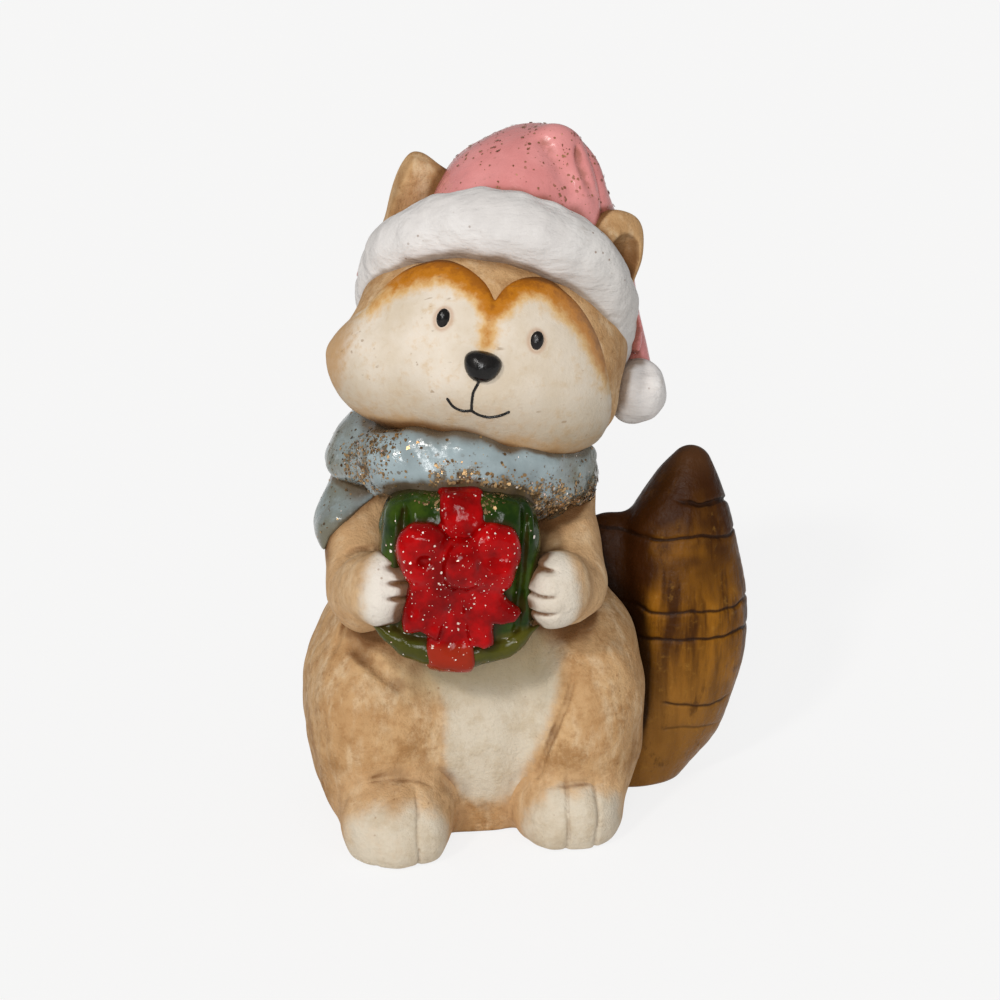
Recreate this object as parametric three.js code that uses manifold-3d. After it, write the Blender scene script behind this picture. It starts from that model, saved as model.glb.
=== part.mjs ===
// A fired-clay fox figurine in a winter hat and scarf, holding a wrapped gift.
// Millimetres, +Z up. The fox faces -Y; its own right side is -X.
import * as THREE from "three";
import { LoftGeometry } from "three/addons/geometries/LoftGeometry.js";
import { mergeVertices } from "three/addons/utils/BufferGeometryUtils.js";
import Module from "manifold-3d";

const wasm = await Module();
wasm.setup();

// Clay wall and slip joints
const SEAM = 0.3;
const WALL = 5;
const VENT_RADIUS = 18;
const NECK_VENT_RADIUS = 7;

// Torso, turned about the figure's own upright axis
const TORSO_BASE_RADIUS = 27;
const TORSO_BELLY_RADIUS = 36;
const TORSO_BELLY_DEPTH = 33;
const TORSO_BELLY_HEIGHT = 28;
const TORSO_CHEST_RADIUS = 29;
const TORSO_CHEST_DROP = 32;
const TORSO_NECK_RADIUS = 20;
const TORSO_NECK_DROP = 9;
const TORSO_HEIGHT = 100;

// Head: a wide bun with chubby pointed cheeks, tipped up and to its left
const HEAD_HALF_WIDTH = 32;
const HEAD_HALF_DEPTH = 30;
const HEAD_HALF_HEIGHT = 25;
const HEAD_SINK = 5.5;
const HEAD_SIDE = 3.6;
const HEAD_FORWARD = 8;
const HEAD_YAW_ANGLE = -3.8;
const HEAD_PITCH_ANGLE = -12;
const HEAD_ROLL_ANGLE = 12.5;
const CHEEK_RADIUS = 13.5;
const CHEEK_DROP = 12;
const CHEEK_RIGHT_POINT = 3;
const CHEEK_LEFT_POINT = -0.5;

// Raised face mask and its features
const MASK = 1.2;
const MASK_NOTCH = 9.6;
const MASK_BROW_SPREAD = 11.5;
const MASK_BROW_HEIGHT = 17;
const MASK_TEMPLE_SPREAD = 23.5;
const MASK_TEMPLE_HEIGHT = 7;
const MASK_CHEEK_HEIGHT = -4;
const MASK_CHIN_RISE = 3.5;
const MASK_EDGE_DEPTH = 9;
const EYE_SPREAD = 10.8;
const EYE_HEIGHT = 2.9;
const EYE_HALF_WIDTH = 1.8;
const EYE_HALF_HEIGHT = 2.4;
const EYE_RELIEF = 0.8;
const NOSE_HEIGHT = -5.3;
const NOSE_HALF_WIDTH = 4.4;
const NOSE_HALF_HEIGHT = 3.5;
const NOSE_RELIEF = 3.4;

// Ears
const EAR_INSET = 10.4;
const EAR_SINK = 0.5;
const EAR_SETBACK = 9;
const EAR_HALF_WIDTH = 8.6;
const EAR_HALF_DEPTH = 4.2;
const EAR_HALF_HEIGHT = 14;
const EAR_SPLAY_ANGLE = 8;
const EAR_SCOOP = 2.6;
const LEFT_EAR_FORWARD = 12;
const LEFT_EAR_DROP = 2;
const LEFT_EAR_TURN_ANGLE = 50;

// Hat: padded brim, domed crown, folded tip and pompom
const BRIM_TUBE = 8.2;
const BRIM_SIDE_INSET = 5.7;
const BRIM_FRONT_INSET = 10;
const BRIM_FRONT_RISE = 1;
const BRIM_SIDE_SETBACK = 4;
const BRIM_SIDE_HEIGHT = 4.5;
const BRIM_BACK_OVER = 1;
const BRIM_BACK_HEIGHT = -2;
const HAT_FELT = 3.4;
const CROWN_INSET = 9.6;
const CROWN_HALF_DEPTH = 25;
const CROWN_HALF_HEIGHT = 24.5;
const CROWN_SIDE = 1.8;
const CROWN_SETBACK = 7;
const CROWN_RISE = 2;
const HAT_TIP_RADIUS = 5.8;
const POMPOM_RADIUS = 7;
const POMPOM_HALF_HEIGHT = 8;
const POMPOM_OUT = 5;
const POMPOM_SETBACK = 8;
const POMPOM_DROP = 5.2;

// Scarf: neck wrap, lap across the front and drape over the right shoulder
const SCARF_HALF_THICKNESS = 6.5;
const SCARF_HALF_HEIGHT = 9;
const SCARF_HALF_WIDTH = 23.2;
const SCARF_HALF_DEPTH = 24;
const SCARF_SIDE = -4.5;
const SCARF_FORWARD = 4;
const SCARF_DROP = 9.5;
const SCARF_ROLL_ANGLE = 8;
const SCARF_TAPER = 2.8;
const LAP_HALF_THICKNESS = 4.5;
const LAP_HALF_HEIGHT = 7.2;
const LAP_RISE = 6;
const DRAPE_HALF_THICKNESS = 4.5;
const DRAPE_HALF_WIDTH = 10;
const DRAPE_LENGTH = 28;
const DRAPE_FORWARD = 5;

// Gift, ribbon and bow
const GIFT_HALF_WIDTH = 18.3;
const GIFT_HALF_DEPTH = 10;
const GIFT_HALF_HEIGHT = 20.7;
const GIFT_SIDE = -6;
const GIFT_DROP = 27.5;
const GIFT_STANDOFF = 10;
const GIFT_TILT_ANGLE = 2.4;
const RIBBON = 1.2;
const RIBBON_WIDTH = 10;
const BOW_HEIGHT = 6.5;
const KNOT_RADIUS = 4;
const LOOP_HALF_WIDTH = 7.4;
const LOOP_HALF_DEPTH = 4.6;
const LOOP_HALF_HEIGHT = 8.2;
const BOW_TAIL_LENGTH = 17;
const BOW_TAIL_WIDTH = 10;
const BOW_TAIL_THICKNESS = 3;
const BOW_TAIL_NOTCH = 3.5;
const BOW_TAIL_SPLAY_ANGLE = 26;

// Arms, each ending in a rounded paw on the side of the gift
const ARM_RADIUS = 9;
const ARM_ELBOW_DROP = 19;
const ARM_RIGHT_ELBOW_OUT = 27.5;
const ARM_LEFT_ELBOW_OUT = 22;
const SHOULDER_TUCK = 8.5;
const SHOULDER_RIGHT_OUT = 25;
const SHOULDER_LEFT_OUT = 22;
const PAW_HALF_WIDTH = 8;
const PAW_HALF_DEPTH = 7;
const PAW_HALF_HEIGHT = 9.4;

// Legs
const HAUNCH_HALF_WIDTH = 17.8;
const HAUNCH_HALF_DEPTH = 27;
const HAUNCH_TOP_DROP = 42;
const HAUNCH_SINK = 2;
const HAUNCH_RIGHT_OUT = 24.3;
const HAUNCH_LEFT_OUT = 23;
const HAUNCH_FORWARD = 9.5;
const HAUNCH_LEAN_ANGLE = 4;
const FOOT_HALF_WIDTH = 13.6;
const FOOT_HALF_LENGTH = 16;
const FOOT_HALF_HEIGHT = 10.5;
const FOOT_HEIGHT = 8;
const FOOT_OUT = 20.6;
const FOOT_RIGHT_FRONT = 47;
const FOOT_LEFT_FRONT = 41;

// Tail, standing beside the left haunch
const TAIL_ROOT_OUT = 39;
const TAIL_SWELL_OUT = 52;
const TAIL_UPPER_OUT = 51.2;
const TAIL_TIP_OUT = 54.8;
const TAIL_SETBACK = 9;
const TAIL_SWELL_RADIUS = 17.6;
const TAIL_HALF_DEPTH = 15;
const TAIL_SWELL_HEIGHT = 38;
const TAIL_HEIGHT = 86.6;
const TAIL_WEB_HALF_WIDTH = 15;
const TAIL_WEB_HALF_DEPTH = 7;
const TAIL_WEB_RISE = 7;

const RIGHT = -1;
const LEFT = 1;
const DEG = Math.PI / 180;

// Frames: nested groups that carry the pieces
const object = new THREE.Group();
const figure = new THREE.Group();
object.add(figure);

function frame(parent, position, turn = [0, 0, 0]) {
  const group = new THREE.Group();
  group.position.set(...position);
  group.rotation.set(turn[0] * DEG, turn[1] * DEG, turn[2] * DEG, "ZXY");
  parent.add(group);
  group.updateWorldMatrix(true, false);
  return group;
}

// A closed geometry becomes a solid in the figure's own space
function solid(geometry, place = figure) {
  const shell = new THREE.BufferGeometry().copy(geometry);
  shell.deleteAttribute("normal");
  shell.deleteAttribute("uv");
  const merged = mergeVertices(shell.applyMatrix4(place.matrixWorld), 1e-3);
  const points = merged.getAttribute("position").array;
  const corners = merged.getIndex().array;
  const faces = [];
  let volume = 0;
  const a = new THREE.Vector3();
  const b = new THREE.Vector3();
  const c = new THREE.Vector3();
  for (let k = 0; k < corners.length; k += 3) {
    const [i, j, l] = [corners[k], corners[k + 1], corners[k + 2]];
    if (i === j || j === l || l === i) continue;
    b.fromArray(points, 3 * j).cross(c.fromArray(points, 3 * l));
    volume += a.fromArray(points, 3 * i).dot(b);
    faces.push([i, j, l]);
  }
  const wound = volume < 0 ? faces.map(([i, j, l]) => [i, l, j]) : faces;
  const mesh = new wasm.Mesh({
    numProp: 3,
    vertProperties: Float32Array.from(points),
    triVerts: Uint32Array.from(wound.flat()),
  });
  return new wasm.Manifold(mesh);
}

const join = (...solids) => solids.reduce((whole, next) => whole.add(next));
const cut = (whole, ...tools) => tools.reduce((left, tool) => left.subtract(tool), whole);

// One finished piece: the main body of a solid, hung in its frame as a named mesh
function piece(parent, name, finish, body) {
  const bodies = body.decompose();
  const main = bodies.reduce((best, next) => (next.volume() > best.volume() ? next : best));
  const { vertProperties, triVerts } = main.getMesh();
  const geometry = new THREE.BufferGeometry();
  geometry.setAttribute("position", new THREE.BufferAttribute(vertProperties, 3));
  geometry.setIndex(new THREE.BufferAttribute(triVerts, 1));
  geometry.applyMatrix4(parent.matrixWorld.clone().invert());
  geometry.computeVertexNormals();
  const mesh = new THREE.Mesh(geometry, finish.clone());
  mesh.name = name;
  parent.add(mesh);
  return main;
}

// A rounded lump: a sphere stretched to half sizes, squarer for a higher power
function blob(halves, { grow = 0, power = () => 2, columns = 16, rows = 10 } = {}) {
  const geometry = new THREE.SphereGeometry(1, columns, rows).rotateX(Math.PI / 2);
  const position = geometry.getAttribute("position");
  const stretch = new THREE.Vector3(...halves).addScalar(grow);
  const p = new THREE.Vector3();
  for (let k = 0; k < position.count; k += 1) {
    p.fromBufferAttribute(position, k);
    const n = power(p);
    const size = (Math.abs(p.x) ** n + Math.abs(p.y) ** n + Math.abs(p.z) ** n) ** (1 / n);
    p.divideScalar(size);
    p.multiply(stretch);
    position.setXYZ(k, p.x, p.y, p.z);
  }
  return geometry;
}

// One oval section of a limb, square to its line
function section(centre, along, up, across, tall, columns) {
  const side = new THREE.Vector3().crossVectors(up, along).normalize();
  const rise = new THREE.Vector3().crossVectors(along, side).normalize();
  const ring = [];
  for (let k = 0; k < columns; k += 1) {
    const turn = (2 * Math.PI * k) / columns;
    const point = centre.clone();
    point.addScaledVector(side, Math.cos(turn) * across).addScaledVector(rise, Math.sin(turn) * tall);
    ring.push(point);
  }
  return ring;
}

// A round-ended limb along a smooth line, with a half width and half height at each point
function limb(points, halves, { up = [0, 0, 1], grow = 0, rows = 10, columns = 10 } = {}) {
  const stops = points.map((p) => new THREE.Vector3(...p));
  const last = stops.length - 1;
  stops[0].addScaledVector(stops[0].clone().sub(stops[1]).normalize(), grow);
  stops[last].addScaledVector(stops[last].clone().sub(stops[last - 1]).normalize(), grow);
  const line = new THREE.CatmullRomCurve3(stops);
  const swellings = halves.map(([across, tall]) => new THREE.Vector3(across + grow, tall + grow, 0));
  const sizes = new THREE.CatmullRomCurve3(swellings);
  const length = line.getLength();
  const upward = new THREE.Vector3(...up);
  const sections = [];
  for (let k = 0; k <= rows; k += 1) {
    const t = (1 - Math.cos((Math.PI * (k + 0.35)) / (rows + 0.7))) / 2;
    const size = sizes.getPoint(t);
    const inset = Math.min(t, 1 - t) * length;
    const reach = Math.min(1, inset / Math.min(size.x, size.y));
    const round = Math.sqrt(1 - (1 - reach) ** 2);
    const along = line.getTangent(t);
    size.multiplyScalar(round);
    sections.push(section(line.getPoint(t), along, upward, size.x, size.y, columns));
  }
  return new LoftGeometry(sections, { capStart: true, capEnd: true });
}

// A closed padded ring along a smooth loop
function ring(points, across, tall, { up = [0, 0, 1], grow = 0, rows = 22, columns = 9 } = {}) {
  const line = new THREE.CatmullRomCurve3(points.map((p) => new THREE.Vector3(...p)), true);
  const upward = new THREE.Vector3(...up);
  const sections = [];
  for (let k = 0; k < rows; k += 1) {
    const t = k / rows;
    const along = line.getTangent(t);
    sections.push(section(line.getPoint(t), along, upward, across + grow, tall + grow, columns));
  }
  sections.push(sections[0].map((p) => p.clone()));
  return new LoftGeometry(sections);
}

// A flat outline drawn in the x-z plane and thickened from the front y to the back y
function slab(outline, front, back) {
  const thickening = { depth: back - front, bevelEnabled: false, curveSegments: 6 };
  const geometry = new THREE.ExtrudeGeometry(outline, thickening);
  return geometry.rotateX(Math.PI / 2).translate(0, back, 0);
}

const REACH = 200;
const ground = solid(new THREE.BoxGeometry(2 * REACH, 2 * REACH, REACH).translate(0, 0, -REACH / 2));

// Torso
function torsoProfile(grow, top, floor) {
  const side = new THREE.SplineCurve([
    new THREE.Vector2(TORSO_BASE_RADIUS + grow, floor),
    new THREE.Vector2(TORSO_BELLY_RADIUS + grow, TORSO_BELLY_HEIGHT),
    new THREE.Vector2(TORSO_CHEST_RADIUS + grow, TORSO_HEIGHT - TORSO_CHEST_DROP),
    new THREE.Vector2(TORSO_NECK_RADIUS + grow, TORSO_HEIGHT - TORSO_NECK_DROP),
    new THREE.Vector2(0.01, top),
  ]);
  const rise = side.getPoints(11);
  rise[rise.length - 1].x = 0;
  return [new THREE.Vector2(0, floor), ...rise];
}

function torso(grow = 0, floor = -SEAM, facets = 26) {
  const depth = TORSO_BELLY_DEPTH / TORSO_BELLY_RADIUS;
  const turned = new THREE.LatheGeometry(torsoProfile(grow, TORSO_HEIGHT + grow, floor), facets);
  return solid(turned.rotateX(Math.PI / 2).scale(1, depth, 1));
}

// Head
const headFrame = frame(
  figure,
  [HEAD_SIDE, -HEAD_FORWARD, TORSO_HEIGHT - HEAD_SINK + HEAD_HALF_HEIGHT],
  [HEAD_PITCH_ANGLE, HEAD_ROLL_ANGLE, HEAD_YAW_ANGLE],
);
const headHalves = [HEAD_HALF_WIDTH, HEAD_HALF_DEPTH, HEAD_HALF_HEIGHT];
const headPower = (p) => 2.4 - 0.9 * Math.max(-1, Math.min(0.3, p.z));

const cheekRightReach = HEAD_HALF_WIDTH + CHEEK_RIGHT_POINT;
const cheekLeftReach = HEAD_HALF_WIDTH + CHEEK_LEFT_POINT;

function cheek(side, reach, grow) {
  const line = [2 * CHEEK_RADIUS, CHEEK_RADIUS, 0].map((inset) => [
    side * (reach - inset),
    -HEAD_FORWARD,
    -CHEEK_DROP,
  ]);
  const sizes = [1, 0.93, 0.48].map((share) => [share * CHEEK_RADIUS, share * CHEEK_RADIUS]);
  return limb(line, sizes, { grow, rows: 7, columns: 9 });
}

function head(grow = 0) {
  return join(
    solid(blob(headHalves, { grow, power: headPower, columns: 18, rows: 13 }), headFrame),
    solid(cheek(RIGHT, cheekRightReach, grow), headFrame),
    solid(cheek(LEFT, cheekLeftReach, grow), headFrame),
  );
}

// How far forward the mask surface stands at a place on the face
function faceDepth(across, height) {
  const n = 2.4;
  const wide = Math.abs(across / (HEAD_HALF_WIDTH + MASK)) ** n;
  const tall = Math.abs(height / (HEAD_HALF_HEIGHT + MASK)) ** n;
  return (HEAD_HALF_DEPTH + MASK) * (1 - wide - tall) ** (1 / n);
}

const neckVent = frame(headFrame, [0, HEAD_FORWARD, -HEAD_HALF_HEIGHT]);
const ventTube = solid(
  new THREE.CylinderGeometry(NECK_VENT_RADIUS, NECK_VENT_RADIUS, 2 * HEAD_HALF_HEIGHT, 12)
    .rotateX(Math.PI / 2),
  neckVent,
);

function maskOutline() {
  const wide = cheekRightReach + CHEEK_RADIUS;
  const chin = MASK_CHIN_RISE - HEAD_HALF_HEIGHT;
  const brow = [
    [MASK_BROW_SPREAD, MASK_BROW_HEIGHT],
    [MASK_TEMPLE_SPREAD, MASK_TEMPLE_HEIGHT],
    [HEAD_HALF_WIDTH, MASK_CHEEK_HEIGHT],
    [wide, MASK_CHEEK_HEIGHT],
  ];
  const toward = (side, points) => points.map(([x, z]) => new THREE.Vector2(side * x, z));
  const shape = new THREE.Shape();
  shape.moveTo(0, MASK_NOTCH);
  shape.splineThru(toward(RIGHT, brow));
  shape.lineTo(-wide, chin);
  shape.lineTo(wide, chin);
  shape.lineTo(wide, MASK_CHEEK_HEIGHT);
  shape.splineThru(toward(LEFT, [...brow.slice(0, 3).reverse(), [0, MASK_NOTCH]]));
  return shape;
}

// Hat
const brimSide = HEAD_HALF_WIDTH - BRIM_SIDE_INSET;
const brimFront = HEAD_HALF_DEPTH - BRIM_FRONT_INSET;
const brimBack = HEAD_HALF_DEPTH + BRIM_BACK_OVER;
const brimFrontHeight = HEAD_HALF_HEIGHT + BRIM_FRONT_RISE;
const brimLine = [
  [0, -brimFront, brimFrontHeight],
  [
    0.76 * brimSide,
    BRIM_SIDE_SETBACK - 0.7 * (brimFront + BRIM_SIDE_SETBACK),
    BRIM_SIDE_HEIGHT + 0.7 * (brimFrontHeight - BRIM_SIDE_HEIGHT),
  ],
  [brimSide, BRIM_SIDE_SETBACK, BRIM_SIDE_HEIGHT],
  [0.72 * brimSide, 0.72 * brimBack, BRIM_BACK_HEIGHT],
  [0, brimBack, BRIM_BACK_HEIGHT],
];
const mirrored = brimLine.slice(1, 4).map(([x, y, z]) => [-x, y, z]);
const brimLoop = [...brimLine, ...mirrored.reverse()];

function brim(grow = 0) {
  return solid(ring(brimLoop, BRIM_TUBE, BRIM_TUBE, { grow, up: [0, 0.35, 1] }), headFrame);
}

// Everything above and behind the brim line
function aboveBrim() {
  const slope = (brimFrontHeight - BRIM_SIDE_HEIGHT) / (brimFront + BRIM_SIDE_SETBACK);
  const outline = new THREE.Shape([
    new THREE.Vector2(-REACH, brimFrontHeight + slope * (REACH - brimFront)),
    new THREE.Vector2(BRIM_SIDE_SETBACK, BRIM_SIDE_HEIGHT),
    new THREE.Vector2(brimBack, BRIM_BACK_HEIGHT),
    new THREE.Vector2(REACH, BRIM_BACK_HEIGHT),
    new THREE.Vector2(REACH, 2 * REACH),
    new THREE.Vector2(-REACH, 2 * REACH),
  ]);
  const prism = new THREE.ExtrudeGeometry(outline, { depth: 2 * REACH, bevelEnabled: false });
  const turn = new THREE.Matrix4().makeBasis(
    new THREE.Vector3(0, 1, 0),
    new THREE.Vector3(0, 0, 1),
    new THREE.Vector3(1, 0, 0),
  );
  return solid(prism.translate(0, 0, -REACH).applyMatrix4(turn), headFrame);
}

const crownHalfWidth = HEAD_HALF_WIDTH - CROWN_INSET;
const crownHeight = HEAD_HALF_HEIGHT + CROWN_RISE;
const crownFrame = frame(headFrame, [CROWN_SIDE, CROWN_SETBACK, crownHeight]);
const crownHalves = [crownHalfWidth, CROWN_HALF_DEPTH, CROWN_HALF_HEIGHT];

function crown(grow = 0) {
  const lump = blob(crownHalves, { grow, power: () => 2.15, columns: 18, rows: 12 });
  return solid(lump, crownFrame).add(head(HAT_FELT + grow)).intersect(aboveBrim());
}

function earFrame(side) {
  const root = [side * (HEAD_HALF_WIDTH - EAR_INSET), EAR_SETBACK, HEAD_HALF_HEIGHT - EAR_SINK];
  const splay = [0, side * EAR_SPLAY_ANGLE, 0];
  if (side === LEFT) {
    root[1] -= LEFT_EAR_FORWARD;
    root[2] -= LEFT_EAR_DROP;
    splay[2] = LEFT_EAR_TURN_ANGLE;
  }
  return frame(headFrame, root, splay);
}

function ear(place, grow = 0) {
  const halves = [EAR_HALF_WIDTH, EAR_HALF_DEPTH, EAR_HALF_HEIGHT];
  return solid(blob(halves, { grow, power: () => 2.6, columns: 12, rows: 8 }), place);
}

function earScoop(place) {
  const rim = EAR_HALF_WIDTH - EAR_SCOOP;
  const hollow = blob([rim, EAR_HALF_DEPTH, EAR_HALF_HEIGHT - EAR_SCOOP], { columns: 10, rows: 8 });
  return solid(hollow.translate(0, -EAR_HALF_DEPTH - EAR_HALF_DEPTH + EAR_SCOOP, 0), place);
}

const pompomSide = HEAD_HALF_WIDTH + POMPOM_OUT;

function hatTip(grow = 0) {
  const behind = BRIM_SIDE_SETBACK + BRIM_TUBE + HAT_TIP_RADIUS;
  const line = [
    [0.3 * crownHalfWidth, 0, crownHeight + 0.72 * CROWN_HALF_HEIGHT],
    [0.62 * crownHalfWidth, 0, crownHeight + 0.58 * CROWN_HALF_HEIGHT],
    [0.84 * crownHalfWidth, 0.4 * CROWN_SETBACK, crownHeight + 0.3 * CROWN_HALF_HEIGHT],
    [HEAD_HALF_WIDTH - 0.6 * HAT_TIP_RADIUS, behind, BRIM_SIDE_HEIGHT + HAT_TIP_RADIUS],
    [pompomSide, POMPOM_SETBACK, -POMPOM_DROP + 0.5 * POMPOM_HALF_HEIGHT],
  ];
  const sizes = [1.1, 0.9, 0.9, 1, 0.6].map((share) => [share * HAT_TIP_RADIUS, share * HAT_TIP_RADIUS]);
  return solid(limb(line, sizes, { grow, up: [0, 1, 0], rows: 12, columns: 10 }), headFrame);
}

const pompomFrame = frame(headFrame, [pompomSide, POMPOM_SETBACK, -POMPOM_DROP]);

// Scarf
const scarfFrame = frame(
  figure,
  [SCARF_SIDE, -SCARF_FORWARD, TORSO_HEIGHT - SCARF_DROP],
  [0, SCARF_ROLL_ANGLE, 0],
);

// Draws a shape in toward its own axis as it rises
function narrowed(geometry, rate) {
  const position = geometry.getAttribute("position");
  for (let k = 0; k < position.count; k += 1) {
    const share = 1 - rate * position.getZ(k);
    position.setXY(k, share * position.getX(k), share * position.getY(k));
  }
  return geometry;
}

function scarfWrap(grow = 0) {
  const loop = [];
  for (let k = 0; k < 8; k += 1) {
    const turn = (k * Math.PI) / 4;
    loop.push([SCARF_HALF_WIDTH * Math.cos(turn), SCARF_HALF_DEPTH * Math.sin(turn), 0]);
  }
  const padded = ring(loop, SCARF_HALF_THICKNESS, SCARF_HALF_HEIGHT, { grow });
  return solid(narrowed(padded, SCARF_TAPER / SCARF_HALF_HEIGHT / SCARF_HALF_WIDTH), scarfFrame);
}

function scarfLap(grow = 0) {
  const stops = [[25, -1], [-20, 0.25], [-60, 0.9], [-105, 1], [-140, 0.2]];
  const line = stops.map(([bearing, rise]) => {
    const turn = bearing * DEG;
    const over = SCARF_HALF_THICKNESS;
    const across = (SCARF_HALF_WIDTH + over) * Math.cos(turn);
    return [across, (SCARF_HALF_DEPTH + over) * Math.sin(turn), rise * LAP_RISE];
  });
  const full = [LAP_HALF_THICKNESS, LAP_HALF_HEIGHT];
  const tongue = [LAP_HALF_THICKNESS, 0.7 * LAP_HALF_HEIGHT];
  return solid(limb(line, [full, full, full, full, tongue], { grow, rows: 14 }), scarfFrame);
}

function scarfDrape(grow = 0) {
  const out = -(SCARF_HALF_WIDTH + SCARF_HALF_THICKNESS);
  const line = [
    [out + 1.7 * DRAPE_HALF_THICKNESS, SCARF_FORWARD - DRAPE_FORWARD, 0],
    [out + 0.9 * DRAPE_HALF_THICKNESS, SCARF_FORWARD - DRAPE_FORWARD, -0.5 * DRAPE_LENGTH],
    [out + 0.7 * DRAPE_HALF_THICKNESS, SCARF_FORWARD, -DRAPE_LENGTH],
  ];
  const flat = [DRAPE_HALF_WIDTH, DRAPE_HALF_THICKNESS];
  return solid(limb(line, [flat, flat, flat], { grow, up: [1, 0, 0], rows: 10 }), scarfFrame);
}

// Gift
const chestFront = (TORSO_CHEST_RADIUS * TORSO_BELLY_DEPTH) / TORSO_BELLY_RADIUS;
const giftHeight = TORSO_HEIGHT - GIFT_DROP;
const giftFrame = frame(
  figure,
  [GIFT_SIDE, -chestFront - GIFT_STANDOFF, giftHeight],
  [0, GIFT_TILT_ANGLE, 0],
);
const giftHalves = [GIFT_HALF_WIDTH, GIFT_HALF_DEPTH, GIFT_HALF_HEIGHT];

function gift(grow = 0) {
  return solid(blob(giftHalves, { grow, power: () => 4.5, columns: 16, rows: 12 }), giftFrame);
}

function ribbonTrack(width) {
  const height = 2 * REACH;
  return solid(new THREE.BoxGeometry(width, REACH, height).translate(0, -REACH / 2, 0), giftFrame);
}

const bowOut = -(GIFT_HALF_DEPTH + RIBBON);
const bowFrame = frame(giftFrame, [0, bowOut, BOW_HEIGHT]);

function knot(grow = 0) {
  const place = frame(bowFrame, [0, -0.5 * KNOT_RADIUS, 0]);
  const halves = [KNOT_RADIUS, KNOT_RADIUS, 1.2 * KNOT_RADIUS];
  return solid(blob(halves, { grow, columns: 10, rows: 8 }), place);
}

function bowLoop(side, grow = 0) {
  const place = frame(bowFrame, [side * LOOP_HALF_WIDTH, 0, 0], [0, side * 12, 0]);
  const halves = [LOOP_HALF_WIDTH, LOOP_HALF_DEPTH, LOOP_HALF_HEIGHT];
  return solid(blob(halves, { grow, power: () => 2.3, columns: 12, rows: 8 }), place);
}

function bowTail(side, grow = 0) {
  const half = BOW_TAIL_WIDTH / 2;
  const neck = KNOT_RADIUS / 2;
  const outline = new THREE.Shape([
    new THREE.Vector2(-neck - grow, grow),
    new THREE.Vector2(-half - grow, -BOW_TAIL_LENGTH - grow),
    new THREE.Vector2(0, BOW_TAIL_NOTCH - BOW_TAIL_LENGTH - grow),
    new THREE.Vector2(half + grow, -BOW_TAIL_LENGTH - grow),
    new THREE.Vector2(neck + grow, grow),
  ]);
  const place = frame(bowFrame, [0, 0, 0], [0, -side * BOW_TAIL_SPLAY_ANGLE, 0]);
  return solid(slab(outline, -BOW_TAIL_THICKNESS - grow, BOW_TAIL_THICKNESS + RIBBON), place);
}

// Arms
const shoulderHeight = TORSO_HEIGHT - SCARF_DROP - SHOULDER_TUCK;

function arm(side, shoulderOut, elbowOut, grow = 0) {
  const giftEdge = GIFT_SIDE + side * GIFT_HALF_WIDTH;
  const giftFront = -chestFront - GIFT_STANDOFF - 0.5 * GIFT_HALF_DEPTH;
  const elbowHeight = shoulderHeight - ARM_ELBOW_DROP;
  const pawHeight = giftHeight - 0.5 * PAW_HALF_HEIGHT;
  const line = [
    [side * shoulderOut, -0.5 * ARM_RADIUS, shoulderHeight],
    [side * elbowOut, -1.4 * ARM_RADIUS, shoulderHeight - 0.5 * ARM_ELBOW_DROP],
    [side * elbowOut, -2.9 * ARM_RADIUS, elbowHeight],
    [giftEdge + 0.3 * side * PAW_HALF_WIDTH, giftFront + PAW_HALF_DEPTH, pawHeight],
  ];
  const full = [ARM_RADIUS, ARM_RADIUS];
  const wrist = [PAW_HALF_WIDTH, PAW_HALF_WIDTH];
  const sleeve = limb(line, [full, full, full, wrist], { grow, up: [1, 0, 0.2] });
  const hand = frame(figure, [giftEdge + 0.2 * side * PAW_HALF_WIDTH, giftFront, pawHeight]);
  const pawHalves = [PAW_HALF_WIDTH, PAW_HALF_DEPTH, PAW_HALF_HEIGHT];
  const paw = blob(pawHalves, { grow, columns: 12, rows: 10 });
  return join(solid(sleeve), solid(paw, hand));
}

const armRight = (grow) => arm(RIGHT, SHOULDER_RIGHT_OUT, ARM_RIGHT_ELBOW_OUT, grow);
const armLeft = (grow) => arm(LEFT, SHOULDER_LEFT_OUT, ARM_LEFT_ELBOW_OUT, grow);

// Legs
function haunch(side, out, grow = 0) {
  const top = TORSO_HEIGHT - HAUNCH_TOP_DROP;
  const lean = [0, side * HAUNCH_LEAN_ANGLE, 0];
  const hip = frame(figure, [side * out, -HAUNCH_FORWARD, (top - HAUNCH_SINK) / 2], lean);
  const halves = [HAUNCH_HALF_WIDTH, HAUNCH_HALF_DEPTH, (top + HAUNCH_SINK) / 2];
  return solid(blob(halves, { grow, power: (p) => 2.35 - 0.35 * p.z, columns: 18, rows: 14 }), hip);
}

const haunchRight = (grow) => haunch(RIGHT, HAUNCH_RIGHT_OUT, grow);
const haunchLeft = (grow) => haunch(LEFT, HAUNCH_LEFT_OUT, grow);

function foot(side, front, grow = 0) {
  const place = frame(figure, [side * FOOT_OUT, FOOT_HALF_LENGTH - front, FOOT_HEIGHT]);
  const halves = [FOOT_HALF_WIDTH, FOOT_HALF_LENGTH, FOOT_HALF_HEIGHT];
  return solid(blob(halves, { grow, power: () => 2.5, columns: 14 }), place);
}

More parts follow.
